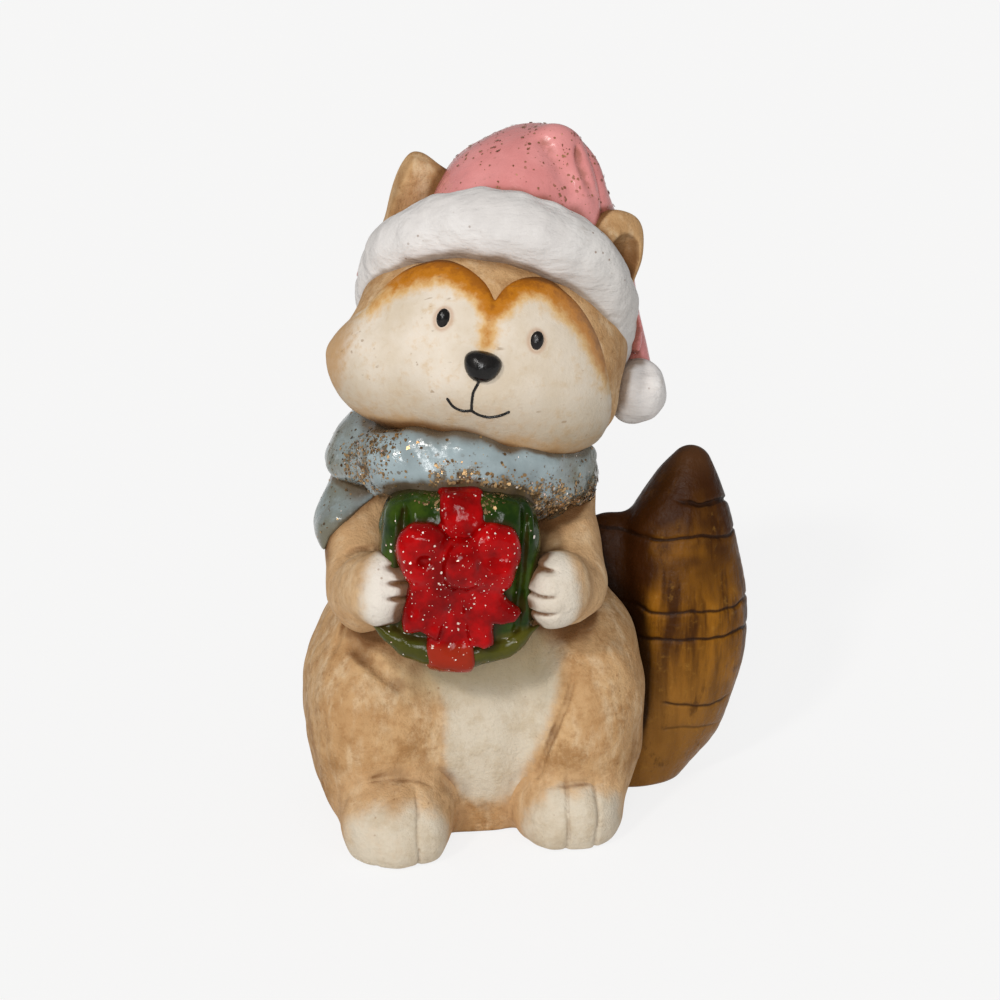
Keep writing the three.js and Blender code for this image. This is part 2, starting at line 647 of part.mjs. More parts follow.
// Tail, with the web of clay that joins its inner side to the torso
function tail(grow = 0) {
  const halfway = 0.5 * (TAIL_SWELL_HEIGHT + TAIL_HEIGHT);
  const line = [
    [TAIL_ROOT_OUT, TAIL_SETBACK, 0],
    [0.4 * TAIL_ROOT_OUT + 0.6 * TAIL_SWELL_OUT, TAIL_SETBACK, 0.45 * TAIL_SWELL_HEIGHT],
    [TAIL_SWELL_OUT, TAIL_SETBACK, TAIL_SWELL_HEIGHT],
    [TAIL_UPPER_OUT, TAIL_SETBACK, halfway],
    [TAIL_TIP_OUT, TAIL_SETBACK, TAIL_HEIGHT],
  ];
  const shares = [0.8, 0.96, 1, 0.84, 0.25];
  const sizes = shares.map((share) => [share * TAIL_SWELL_RADIUS, share * TAIL_HALF_DEPTH]);
  const plume = solid(limb(line, sizes, { grow, up: [0, 1, 0], rows: 14, columns: 14 }));
  const webHalves = [TAIL_WEB_HALF_WIDTH, TAIL_WEB_HALF_DEPTH, halfway - TAIL_SWELL_HEIGHT];
  const webOut = TAIL_SWELL_OUT - TAIL_SWELL_RADIUS;
  const webPlace = frame(figure, [webOut, TAIL_SETBACK, TAIL_SWELL_HEIGHT + TAIL_WEB_RISE]);
  return plume.add(solid(blob(webHalves, { grow, columns: 12, rows: 10 }), webPlace));
}

// Paints
const paint = (color, roughness) => new THREE.MeshStandardMaterial({ color, roughness });
const tan = paint(0xc79a6a, 0.75);
const cream = paint(0xe9dcc6, 0.7);
const black = paint(0x17120f, 0.25);
const pink = paint(0xd98a8c, 0.3);
const white = paint(0xe4dfdc, 0.65);
const blue = paint(0x8fa3aa, 0.3);
const green = paint(0x2f4a23, 0.3);
const red = paint(0xb3121d, 0.28);
const brown = paint(0x6b4018, 0.5);

// Hollow body and head
const headHollow = solid(
  blob(headHalves, { grow: -WALL, power: headPower, columns: 12, rows: 8 }),
  headFrame,
);
const bodyHollow = torso(-WALL, WALL, 16).add(
  solid(new THREE.CylinderGeometry(VENT_RADIUS, VENT_RADIUS, 4 * WALL, 20).rotateX(Math.PI / 2)),
);
piece(figure, "body_shell", tan, cut(torso(), head(SEAM), bodyHollow, ventTube, ground));
piece(headFrame, "head_shell", tan, cut(head(), headHollow, ventTube));

// Face
const maskFront = solid(slab(maskOutline(), -REACH, -MASK_EDGE_DEPTH), headFrame);
piece(headFrame, "face_mask", cream, cut(head(MASK).intersect(maskFront), head(SEAM)));

function feature(name, across, height, halves) {
  const place = frame(headFrame, [across, -faceDepth(across, height), height]);
  const bead = solid(blob(halves, { columns: 10, rows: 8 }), place);
  piece(headFrame, name, black, cut(bead, head(MASK + SEAM)));
}

const eyeHalves = [EYE_HALF_WIDTH, EYE_RELIEF + SEAM, EYE_HALF_HEIGHT];
feature("eye_right", RIGHT * EYE_SPREAD, EYE_HEIGHT, eyeHalves);
feature("eye_left", LEFT * EYE_SPREAD, EYE_HEIGHT, eyeHalves);
feature("nose", 0, NOSE_HEIGHT, [NOSE_HALF_WIDTH, NOSE_RELIEF, NOSE_HALF_HEIGHT]);

// Hat and ears
const headSkin = head(SEAM);
const maskSkin = head(MASK + SEAM).intersect(maskFront);
piece(headFrame, "hat_brim", white, cut(brim(), headSkin, maskSkin));
piece(crownFrame, "hat_crown", pink, cut(crown(), headSkin, brim(SEAM)));
const hatSkin = join(crown(SEAM), brim(SEAM), headSkin);
for (const [name, side] of [["ear_right", RIGHT], ["ear_left", LEFT]]) {
  const place = earFrame(side);
  piece(place, name, tan, cut(ear(place), earScoop(place), hatSkin));
}
const earSkin = ear(earFrame(LEFT), SEAM);
piece(headFrame, "hat_tip", pink, cut(hatTip(), hatSkin, earSkin));
const pompomHalves = [POMPOM_RADIUS, POMPOM_RADIUS, POMPOM_HALF_HEIGHT];
const pompom = solid(blob(pompomHalves, { columns: 12, rows: 8 }), pompomFrame);
piece(pompomFrame, "hat_pompom", white, cut(pompom, hatTip(SEAM), hatSkin, maskSkin));

// Scarf
const torsoSkin = torso(SEAM);
const headAll = join(headSkin, maskSkin, brim(SEAM));
piece(scarfFrame, "scarf_wrap", blue, cut(scarfWrap(), torsoSkin, headAll));
piece(scarfFrame, "scarf_lap", blue, cut(scarfLap(), scarfWrap(SEAM), torsoSkin, headAll));
piece(scarfFrame, "scarf_drape", blue, cut(scarfDrape(), scarfWrap(SEAM), scarfLap(SEAM), torsoSkin));
const scarfSkin = join(scarfWrap(SEAM), scarfLap(SEAM), scarfDrape(SEAM));

// Gift and bow
piece(giftFrame, "gift_box", green, cut(gift(), torsoSkin, scarfSkin));
const band = gift(RIBBON).intersect(ribbonTrack(RIBBON_WIDTH));
piece(giftFrame, "gift_ribbon", red, cut(band, gift(SEAM), torsoSkin, scarfSkin));
const giftSkin = gift(SEAM);
const bandSkin = gift(RIBBON + SEAM).intersect(ribbonTrack(RIBBON_WIDTH + 2 * SEAM));
piece(bowFrame, "bow_knot", red, cut(knot(), giftSkin, bandSkin));
const bowSeat = join(giftSkin, bandSkin, knot(SEAM), scarfSkin);
piece(bowFrame, "bow_loop_right", red, cut(bowLoop(RIGHT), bowSeat));
piece(bowFrame, "bow_loop_left", red, cut(bowLoop(LEFT), bowSeat, bowLoop(RIGHT, SEAM)));
const loopSkin = join(bowLoop(RIGHT, SEAM), bowLoop(LEFT, SEAM));
piece(bowFrame, "bow_tail_right", red, cut(bowTail(RIGHT), bowSeat, loopSkin));
piece(bowFrame, "bow_tail_left", red, cut(bowTail(LEFT), bowSeat, loopSkin, bowTail(RIGHT, SEAM)));

// Arms
const bowSkin = join(bandSkin, knot(SEAM), loopSkin, bowTail(RIGHT, SEAM), bowTail(LEFT, SEAM));
const armSeat = join(torsoSkin, scarfSkin, giftSkin, bowSkin, headAll);
piece(figure, "arm_right", tan, cut(armRight(), armSeat));
piece(figure, "arm_left", tan, cut(armLeft(), armSeat));

// Legs
const armSkin = join(armRight(SEAM), armLeft(SEAM));
piece(figure, "haunch_right", tan, cut(haunchRight(), torsoSkin, armSkin, giftSkin, ground));
piece(figure, "haunch_left", tan, cut(haunchLeft(), torsoSkin, armSkin, giftSkin, ground));
const footRight = foot(RIGHT, FOOT_RIGHT_FRONT);
const footLeft = foot(LEFT, FOOT_LEFT_FRONT);
piece(figure, "foot_right", tan, cut(footRight, haunchRight(SEAM), torsoSkin, ground));
piece(figure, "foot_left", tan, cut(footLeft, haunchLeft(SEAM), torsoSkin, ground));

// Tail
piece(figure, "tail", brown, cut(tail(), torsoSkin, haunchLeft(SEAM), armSkin, scarfSkin, ground));

// The origin lies under the middle of the whole figurine
const bounds = new THREE.Box3().setFromObject(object, true);
const middle = bounds.getCenter(new THREE.Vector3());
figure.position.set(-middle.x, -middle.y, -bounds.min.z);

export default object;
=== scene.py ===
from functools import partial
from math import pi, radians

import bpy
import numpy as np
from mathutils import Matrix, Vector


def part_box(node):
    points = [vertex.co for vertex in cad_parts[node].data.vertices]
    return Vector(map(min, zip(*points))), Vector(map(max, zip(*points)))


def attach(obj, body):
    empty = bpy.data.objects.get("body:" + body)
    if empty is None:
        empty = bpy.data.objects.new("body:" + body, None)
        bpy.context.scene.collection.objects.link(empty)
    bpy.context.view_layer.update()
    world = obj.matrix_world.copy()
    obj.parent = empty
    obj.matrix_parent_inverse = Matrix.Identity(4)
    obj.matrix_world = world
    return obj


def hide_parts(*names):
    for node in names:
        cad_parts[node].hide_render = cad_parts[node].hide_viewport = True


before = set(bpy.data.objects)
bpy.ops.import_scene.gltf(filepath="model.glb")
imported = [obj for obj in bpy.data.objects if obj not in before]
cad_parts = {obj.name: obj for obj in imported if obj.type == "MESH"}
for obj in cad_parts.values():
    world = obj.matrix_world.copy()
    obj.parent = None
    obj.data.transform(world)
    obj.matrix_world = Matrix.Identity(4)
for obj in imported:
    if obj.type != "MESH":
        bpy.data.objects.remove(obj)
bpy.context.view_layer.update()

import openvdb
from mathutils import Matrix, Vector

# The figure's own frame: millimetres, body axis at x = y = 0, the fox faces -y, its right is -x
MM = 0.001
RIGHT, LEFT = -1, 1
SIDES = {"right": RIGHT, "left": LEFT}
body_low, body_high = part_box("body_shell")
AXIS = np.array(((body_low.x + body_high.x) / 2, (body_low.y + body_high.y) / 2, 0.0)) / MM
STEP = 0.45
# Points handled at a time
CHUNK = 20000


def paired(part, shape):
    """The right and the left one of a part, by node name."""
    return {f"{part}_{word}": partial(shape, side=side) for word, side in SIDES.items()}


class Place:
    """A frame turned about y, then x, then z, and moved to its origin."""

    def __init__(self, origin, x=0.0, y=0.0, z=0.0, base=None):
        turn = Matrix.Rotation(radians(z), 3, "Z")
        turn = turn @ Matrix.Rotation(radians(x), 3, "X")
        turn = turn @ Matrix.Rotation(radians(y), 3, "Y")
        self.axes = np.array(turn)
        self.origin = np.array(origin, float)
        if base:
            self.origin = base.origin + base.axes @ self.origin
            self.axes = base.axes @ self.axes

    def local(self, points):
        return (points - self.origin) @ self.axes

    def world(self, points):
        return self.origin + np.asarray(points, float) @ self.axes.T


# Signed distance shapes
def melt(a, b, k):
    """Both shapes, with a soft fillet of width k between them."""
    h = np.maximum(k - np.abs(a - b), 0.0)
    return np.minimum(a, b) - h * h / (4.0 * k)


def carve(a, b, k):
    """Only where both shapes are, with an edge rounded by k."""
    return -melt(-a, -b, k)


def smooth(a, b, x):
    t = np.clip((x - a) / (b - a), 0.0, 1.0)
    return t * t * (3.0 - 2.0 * t)


def line(x, width):
    """One on the line x = 0, falling off smoothly to both sides."""
    return np.exp(-((x / width) ** 2))


def lump(p, halves, power=2.0):
    """A rounded lump with half sizes, squarer for a higher power."""
    s = p / np.asarray(halves, float)
    size = np.sqrt((s * s).sum(1)) + 1e-6
    u = s / size[:, None]
    n = power(u) if callable(power) else power
    wide = (np.abs(u) ** (n[:, None] if np.ndim(n) else n)).sum(1) ** (1.0 / n)
    return np.sqrt((p * p).sum(1)) * (1.0 - 1.0 / (size * wide))


def spline(points, steps=8, loop=False):
    q = np.asarray(points, float)
    n = len(q)
    out = []
    for k in range(n if loop else n - 1):
        ends = [k - 1, k, k + 1, k + 2]
        a, b, c, d = (q[j % n] if loop else q[min(max(j, 0), n - 1)] for j in ends)
        for t in np.arange(steps) / steps:
            bend = (2 * a - 5 * b + 4 * c - d) * t**2 + (3 * b - a - 3 * c + d) * t**3
            out.append(0.5 * (2 * b + (c - a) * t + bend))
    if not loop:
        out.append(q[-1])
    return np.array(out)


def strand(p, points, radii, steps=7, loop=False):
    """A round strand along a smooth line, with a radius at each point."""
    path = spline([[*point, radius] for point, radius in zip(points, radii)], steps, loop)
    if loop:
        path = np.vstack([path, path[:1]])
    start, thick = path[:-1, :3], path[:-1, 3]
    along, swell = path[1:, :3] - start, path[1:, 3] - thick
    length = (along * along).sum(1)
    best = np.empty(len(p))
    for low in range(0, len(p), CHUNK):
        q = p[low:low + CHUNK]
        run = q @ along.T - (start * along).sum(1)
        t = np.clip(run / length, 0.0, 1.0)
        gap = (q * q).sum(1)[:, None] - 2.0 * q @ start.T + (start * start).sum(1)
        gap += t * (t * length - 2.0 * run)
        best[low:low + CHUNK] = (np.sqrt(np.maximum(gap, 0.0)) - thick - t * swell).min(1)
    return best


def groove(p, points, width):
    """One along a smooth line in space, falling off around it."""
    return line(strand(p, points, [0.0] * len(points), 4), width)


def lumpy(p, pitch, height, seed):
    """Hand-worked unevenness of a clay surface."""
    rng = np.random.default_rng(seed)
    waves = rng.normal(size=(3, 9))
    waves *= 2 * pi / pitch * rng.uniform(0.6, 1.5, 9) / np.linalg.norm(waves, axis=0)
    return height / 3.0 * np.sin(p @ waves + rng.uniform(0, 2 * pi, 9)).sum(1)


# Tables of numbers on a regular grid
def lattice(*counts):
    cells = np.meshgrid(*map(np.arange, counts), indexing="ij")
    return np.stack(cells, -1).reshape(-1, len(counts))


def sample(table, at):
    """Linear reading of a table at places counted in its cells."""
    at = np.clip(at, 0, np.array(table.shape) - 1.001)
    cell = at.astype(int)
    share = at - cell
    total = np.zeros(len(at))
    for corner in np.ndindex(*[2] * table.ndim):
        weight = np.prod(np.where(corner, share, 1 - share), axis=1)
        total += weight * table[tuple((cell + corner).T)]
    return total


class Outline:
    """Signed distance to a flat outline, kept on a fine grid."""

    def __init__(self, corners, low, high, step=0.4):
        self.low, self.step = np.array(low, float), step
        counts = np.ceil((np.array(high) - low) / step).astype(int) + 1
        p = self.low + lattice(*counts) * step
        best = np.full(len(p), 1e3)
        inside = np.zeros(len(p), bool)
        for a, b in zip(corners, np.roll(corners, -1, axis=0)):
            along = b - a
            t = np.clip((p - a) @ along / max(along @ along, 1e-9), 0, 1)
            best = np.minimum(best, np.hypot(*(p - a - t[:, None] * along).T))
            crosses = (a[1] > p[:, 1]) != (b[1] > p[:, 1])
            rise = np.where(along[1] == 0, 1e-9, along[1])
            inside ^= crosses & (p[:, 0] < a[0] + along[0] * (p[:, 1] - a[1]) / rise)
        self.table = np.where(inside, -best, best).reshape(counts)

    def __call__(self, x, z):
        return sample(self.table, (np.stack([x, z], 1) - self.low) / self.step)


# Torso, haunches, feet and arms
TORSO_TOP = 100
TORSO_FLAT = 36 / 33
PROFILE = spline([(27, -0.3), (36, 28), (29, 68), (20, 91), (0.01, TORSO_TOP)], 12)
WALL, VENT_RADIUS = 5.0, 18.0
HIP = {RIGHT: Place((-24.3, -9.5, 27.2), y=-4), LEFT: Place((23, -9.5, 28), y=4)}
FOOT = {RIGHT: Place((-20.6, -31, 8), z=-4), LEFT: Place((20.6, -25, 8), z=5)}
PAW = {RIGHT: Place((-22.8, -42, 69.4)), LEFT: Place((16, -42, 68.6))}
FINGERS = {RIGHT: (0.4, 3.8, 7.0), LEFT: (-3.4, 0.9, 6.4)}
# Toe lines: place across the foot and strength
TOES = {RIGHT: ((-4.6, 0.4), (6.0, 1.0)), LEFT: ((-2.6, 0.9), (5.4, 1.1))}
ARM_LINE = {
    RIGHT: [(-25, -4.5, 82), (-27.5, -12.6, 73), (-27.3, -26, 63.5), (-25, -35, 67.5)],
    LEFT: [(20.5, -4.5, 82), (20, -12.6, 74), (20.4, -26, 64), (17.5, -35, 67)],
}
ARM_RADII = (9.2, 9.2, 9, 7.8)
PAW_HALVES = (7.4, 7, 9)
FOOT_HALVES = (13.6, 16, 12)
CRACK = [(-31.6, -18.2, 53.8), (-32.3, -19.6, 52.7), (-33.8, -21.5, 49.7), (-35.3, -22.8, 46.9)]
ELBOW = [(-32.2, -26.4, 72.4), (-30.6, -26.3, 73.1), (-28.7, -26.2, 73.8), (-25, -25.9, 73.8)]
THIGH = [(24.2, -26.6, 50), (20.3, -33.9, 39.3), (18.1, -34.9, 33.6), (15.8, -34.4, 27.3)]
THIGH += [(13.1, -32.8, 18.4), (11.6, -32, 14.5)]
FOLD_LINE = [(-32.1, -22.7, 50.1), (-28.7, -27.4, 48), (-25.3, -30, 45.6), (-21.4, -31.6, 42.6)]
FOLD_LINE += [(-17, -32.4, 40)]
INSTEP_RIGHT = [(-32, -34.6, 17.1), (-24, -36.4, 20.4), (-15.2, -36.4, 19.5), (-10.5, -36.4, 16.2)]
INSTEP_LEFT = [(11.1, -34.4, 14.1), (18, -36.5, 16.9), (25.2, -36.1, 17.5), (30.7, -34.6, 15.1)]
# Creases: path, depth, width and strength of the dark in it, which is a stain, and along the fold line
# painted shade
CREASES = [
    (CRACK, 1.0, 0.7, 1.0),
    (ELBOW, 1.0, 0.8, 1.1),
    (THIGH, 0.9, 1.1, 0.3),
    # The fold line's dark is painted shade along the fold
    (FOLD_LINE, 1.2, 1.8, 0.35),
    (INSTEP_RIGHT, 0.35, 0.7, 0.3),
    (INSTEP_LEFT, 0.35, 0.7, 0.3),
]


def torso(p):
    x, y, z = p.T
    radius = np.interp(z, PROFILE[:, 1], PROFILE[:, 0])
    return np.maximum(0.95 * (np.hypot(x, y * TORSO_FLAT) - radius), z - TORSO_TOP)


def haunch(p, side):
    return lump(HIP[side].local(p), (17.8, 27, 29.6 + 0.4 * side), lambda u: 2.27 - 0.3 * u[:, 2])


def toe_lines(p, side, width):
    q = FOOT[side].local(p)
    across = q[:, 0] / (1 - 0.02 * (q[:, 1] + 16)) + lumpy(p, 12, 0.3, 6)
    cuts = np.sum([share * line(across - x, width) for x, share in TOES[side]], axis=0)
    return smooth(-4, -11, q[:, 1]) * cuts


def finger_lines(p, side):
    x, y, z = PAW[side].local(p).T
    level = z - 0.08 * side * x + lumpy(p, 10, 0.2, 7)
    cuts = np.max([line(level - place, 0.5) for place in FINGERS[side]], axis=0)
    return cuts * smooth(1.8, -2.0, side * x) * smooth(3, -1, y)


def foot(p, side):
    d = lump(FOOT[side].local(p), FOOT_HALVES, 2.4)
    return d + 0.7 * toe_lines(p, side, 0.5) + 0.5 * toe_lines(p, side, 2.8)


def sleeve(p, side):
    return strand(p, ARM_LINE[side], ARM_RADII)


def arm(p, side):
    paw = lump(PAW[side].local(p), PAW_HALVES)
    return melt(sleeve(p, side), paw, 5) + finger_lines(p, side)


def crease(p, path, width):
    """A groove that fades out at both ends of its path."""
    length = np.linalg.norm(np.diff(path, axis=0), axis=1).sum()
    reach = [np.linalg.norm(p - end, axis=1) for end in (path[0], path[-1])]
    return groove(p, path, width) * smooth(0, 0.18 * length, np.minimum(*reach))


LIMBS = {"body_shell": torso, **paired("haunch", haunch), **paired("foot", foot), **paired("arm", arm)}
# How softly each limb runs into what is already there
LIMB_BLENDS = {"haunch_right": 10, "haunch_left": 3, "foot_right": 3.2, "foot_left": 3.2,
               "arm_right": 2.4, "arm_left": 2.4}


def cavity(p):
    """Hollow of the torso and its vent hole."""
    x, y, z = p.T
    inside = np.maximum(torso(p) + WALL, WALL - z)
    vent = np.maximum(np.hypot(x, y) - VENT_RADIUS, z - 2 * WALL)
    return melt(inside, vent, 2)


def flesh(p, d=None):
    """Torso and limbs as one blended body of clay."""
    d = d or {key: shape(p) for key, shape in LIMBS.items()}
    skin = d["body_shell"]
    for limb, soft in LIMB_BLENDS.items():
        skin = melt(skin, d[limb], soft)
    for path, depth, width, stain_and_shade in CREASES:
        skin = skin + depth * crease(p, path, width)
    fingered = lumpy(p * (1, 1, 0.45), 6, 0.1, 2)
    return skin + (fingered + lumpy(p, 14, 0.26, 3) + lumpy(p, 34, 0.35, 4))


def portion(skin, d, name, depth):
    """One piece's share of a blended surface; shares overlap under it."""
    over = d[name] - np.min([value for key, value in d.items() if key != name], axis=0)
    return np.maximum(skin + 0.25 * smooth(0, 1.5, over), over - depth)


def clay(p, name):
    d = {key: shape(p) for key, shape in LIMBS.items()}
    shape = portion(flesh(p, d), d, name, 2.0)
    if name == "body_shell":
        shape = np.maximum(shape, -cavity(p))
    return carve(shape, -p[:, 2], 1.2)


# Head, face and ears
HEAD = Place((3.6, -8, 119.5), x=-12, y=12.5, z=-3.8)
EAR = {
    RIGHT: Place((0, 9, 0), z=4, base=HEAD),
    LEFT: Place((22.4, -4.0, 23.4), y=12, z=30, base=HEAD),
}
HEAD_HALVES = (32, 30, 24.4)
# Cheeks: side, reach and sag
CHEEKS = ((RIGHT, 36.0, 1.2), (LEFT, 30.6, 1.6))
CHEEK_RADII = (15.4, 12.4, 4.4)


def head(p):
    q = HEAD.local(p)
    d = lump(q, HEAD_HALVES, lambda u: 2.4 - 0.9 * np.clip(u[:, 2], -1, 0.3))
    for side, reach, sag in CHEEKS:
        path = [(side * 8, -8, -9.6 - sag), (side * (reach - 14.6), -8, -10.2 - sag)]
        path.append((side * (reach - 4.4), -8, -10.6))
        d = melt(d, strand(q, path, CHEEK_RADII), 6)
    return d + lumpy(q, 26, 0.2, 5)


BROW_RIGHT = [(-1.2, 9.6), (-3.3, 12.2), (-5.9, 14), (-9.2, 15.4), (-12.8, 16), (-16.2, 15.4)]
BROW_RIGHT += [(-19.5, 13.8), (-22.6, 11.6), (-25.4, 8.4), (-27.5, 5.1), (-29.6, 1.6)]
JAW_RIGHT = [(-33, -2.2), (-38, -8), (-39, -14), (-31, -22.4), (-15, -25.2), (0, -25)]
BROW_LEFT = [(-1.2, 9.6), (-0.1, 12.1), (1.7, 14.3), (4.4, 16), (7.6, 16.8), (10.4, 16.6)]
BROW_LEFT += [(13.6, 15), (17, 13), (20, 10.4), (23, 7), (25.2, 3.6), (26.8, 0.4)]
JAW_LEFT = [(28.9, -4), (30.6, -9), (30.8, -14), (28, -19.4), (15, -23.8), (0, -25)]
half_right = spline(BROW_RIGHT + JAW_RIGHT, 8)
half_left = spline(BROW_LEFT + JAW_LEFT, 8)
mask_edge = Outline(np.vstack([half_right, half_left[-2:0:-1]]), (-44, -32), (44, 24))


def face(p, bare=None):
    """Head surface with the mask's own muzzle and relief."""
    bare = head(p) if bare is None else bare
    muzzle = lump(HEAD.local(p) - (0, -20, -9), (13, 11, 8.5))
    return melt(bare - 1.0, muzzle, 8)


def mask(p):
    q = HEAD.local(p)
    bare = head(p)
    plate = carve(face(p, bare), mask_edge(q[:, 0], q[:, 2]), 1.8)
    plate = carve(plate, q[:, 1] + 8.0, 3)
    return np.maximum(plate, -(bare + 0.9))


def on_face(x, z):
    """Point of the mask surface at a place seen from the front."""
    y = np.linspace(-45, -15, 240)
    q = np.stack([np.full_like(y, x), y, np.full_like(y, z)], 1)
    d = face(HEAD.world(q))
    k = int(np.argmax(d < 0))
    return np.array((x, np.interp(0.0, [d[k], d[k - 1]], [y[k], y[k - 1]]), z))


EYES = {RIGHT: on_face(-11.6, 3.2), LEFT: on_face(9.9, 2.8)}
NOSE = on_face(-0.8, -5.4)
EYE_HALVES = (1.5, 0.9, 2.2)
NOSE_HALVES = (4.1, 3.4, 3.5)
LINE_RADIUS = 0.34


def eye(p, side):
    return lump(HEAD.local(p) - EYES[side], EYE_HALVES)


def nose(p):
    x, y, z = (HEAD.local(p) - NOSE).T
    return lump(np.stack([x / (1.0 + 0.06 * z), y, z], 1), NOSE_HALVES, 2.3)


MOUTH = [
    [(-0.7, -8.6), (-1.3, -10.6), (-1.5, -11.9), (-1.3, -13.9), (-1.0, -15.6)],
    [(-6.8, -14.2), (-5.2, -15.6), (-3.0, -16.1), (-1.0, -15.6)],
    [(-1.0, -15.6), (0.8, -16.2), (3.3, -16.2), (5.7, -15.2), (7.2, -14.1)],
]
MOUTH_LINES = [[on_face(x, z) for x, z in spline(stroke, 4)] for stroke in MOUTH]


def mouth(p):
    q = HEAD.local(p)
    strokes = [strand(q, stroke, [LINE_RADIUS] * len(stroke), 1) for stroke in MOUTH_LINES]
    return np.min(strokes, axis=0)


EAR_RIGHT = [(-30, 12), (-30.8, 24), (-30.4, 33), (-28.6, 37.6), (-26, 38.6), (-21, 37.2), (-15, 34)]
EAR_RIGHT += [(-12, 26), (-12, 12)]
EAR_HALF_DEPTH = 4.4
EAR_LEFT_HALVES = (8.2, 5.2, 12.4)
ear_edge = Outline(spline(EAR_RIGHT, 6, loop=True), (-42, 0), (0, 50))


def scoop(q):
    """Hollow of the left ear, open to the front and outward."""
    return lump(q - (1.4, -5.6, -1.0), (5.2, 5.6, 9.0))


def ear(p, side):
    q = EAR[side].local(p)
    if side == RIGHT:
        d = carve(ear_edge(q[:, 0], q[:, 2]), np.abs(q[:, 1]) - EAR_HALF_DEPTH, 4.5)
        hollow = lump(q - (-22.5, -7.0, 25), (6.4, 4.4, 9.5))
        return -melt(-d, hollow, 2.5) + lumpy(q, 9, 0.25, 8)
    d = lump(q, EAR_LEFT_HALVES, 2.3)
    return -melt(-d, scoop(q), 1.2) + lumpy(q, 9, 0.2, 9)


# Hat
BRIM = [(0, -20, 26), (20, -12.8, 19.6), (24.6, 4, 4.5), (19, 22.3, -2), (0, 31, -2)]
BRIM += [(-19, 22.3, -1), (-25.6, 4, 6.6), (-20, -12.8, 20)]
TIP = [(6, 1, 45), (11.8, -1.5, 42), (15.8, -1.5, 36), (23.5, 9, 24), (29.2, 16, 11), (36.5, 9.5, -1)]
FOLD = [(5.5, -3, 45.5), (10, -6, 41), (12.6, -6.4, 35.5), (14.6, -5.5, 30)]
PUCKER = [(2.2, -9.1, 46.9), (5.4, -11.7, 43.8), (8.3, -12.9, 40.9), (11.4, -13.4, 37.6)]
VALLEY = [(8, -3.9, 48.9), (11.4, -9.2, 43.6), (14.6, -10.4, 39.6), (17.6, -9.6, 36.8)]
BRIM_RADIUS = 8.2
TIP_RADII = (6.6, 5.2, 4.8, 5.4, 5.0, 3.8)
CROWN_HALVES = (20.3, 25, 24.9)
CROWN_MIDDLE = (0, 7, 27)
POMPOM_HALVES = (7, 7, 8)
POMPOM_MIDDLE = (37, 8, -5.2)


def brim(p):
    q = HEAD.local(p)
    d = strand(q, BRIM, [BRIM_RADIUS] * len(BRIM), 9, loop=True)
    return d + lumpy(q, 22, 0.4, 11) + lumpy(q, 9, 0.2, 12) + lumpy(q, 4.5, 0.07, 13)


def crown(p):
    q = HEAD.local(p)
    lean = q - CROWN_MIDDLE
    lean[:, 0] += 1.15 - 0.15 * lean[:, 2]
    dome = lump(lean, CROWN_HALVES)
    d = melt(dome, strand(q, FOLD, (6, 5, 4.4, 4)), 3)
    d = melt(d, head(p) - 3.4, 5)
    bound = np.interp(q[:, 1], (-60, 4, 31, 60), (61.8, 4.5, -2, -2))
    bound = bound + 3.0 * smooth(-5, -20, q[:, 0])
    d = np.maximum(d, 0.7 * (bound - q[:, 2]))
    d = d + groove(q, PUCKER, 1.6) + 1.3 * groove(q, VALLEY, 1.2)
    return d + lumpy(q, 30, 0.4, 14) + lumpy(q, 12, 0.15, 17)


def tip(p):
    q = HEAD.local(p)
    return strand(q, TIP, TIP_RADII) + lumpy(q, 16, 0.2, 15)


def pompom(p):
    q = HEAD.local(p) - POMPOM_MIDDLE
    return lump(q, POMPOM_HALVES) + lumpy(q, 9, 0.3, 16)


# Scarf
SCARF = Place((-4.5, -4, 90.5), y=8)
WRAP_X, WRAP_Y = 23.2, 24
WRAP_TALL, WRAP_THICK, WRAP_LEAN = 9, 6.5, 2.8
LAP_X, LAP_Y = 30.6, 31.6
LAP_FLAT = 0.6
DRAPE_LOW, DRAPE_HIGH, DRAPE_BACK = 69.4, 96, 6
DRAPE_FRONT = [(68, -39), (71, -36), (74.5, -34.6), (78, -31.4), (81.5, -27), (85, -22), (96, -17)]


def unrolled(p):
    """Scarf frame with its inward lean taken out."""
    x, y, z = SCARF.local(p).T
    share = 1.0 - np.clip(z, -14, 14) * WRAP_LEAN / WRAP_TALL / WRAP_X
    return np.stack([x / share, y / share, z], 1)


def wrap(p):
    """The scarf around the neck, lifted and narrower at the front right."""
    q = unrolled(p)
    x, y, z = q.T
    turn = np.arctan2(y / WRAP_Y, x / WRAP_X)
    out = np.hypot(x, y) - np.hypot(WRAP_X * np.cos(turn), WRAP_Y * np.sin(turn))
    lift = line(turn + 1.95, 0.6)
    tall = WRAP_TALL - 3.5 * lift
    level = (z - 4.5 * lift) * WRAP_TALL / tall
    section = np.stack([out, 0 * out, level], 1)
    d = lump(section, (WRAP_THICK, 1, WRAP_TALL), 2.2) * tall / WRAP_TALL
    return d + lumpy(q, 18, 0.4, 21) + lumpy(q, 6, 0.15, 20)


# Front lap: bearing, rise and half thickness along it
LAP = [(25, -4.5, 4.3), (-20, 1.2, 4.5), (-60, 5.0, 4.9), (-105, 5.8, 5.1), (-133, 2.4, 4.2)]


def lap(p):
    """The front lap, ending in a tongue."""
    q = SCARF.local(p)
    bearing, rise, thick = np.transpose(LAP)
    turn = np.radians(bearing)
    path = np.stack([LAP_X * np.cos(turn), LAP_Y * np.sin(turn), LAP_FLAT * rise], 1)
    d = strand(q * (1, 1, LAP_FLAT), path, thick, 8)
    return d + lumpy(q, 15, 0.4, 22) + lumpy(q, 6, 0.2, 24)


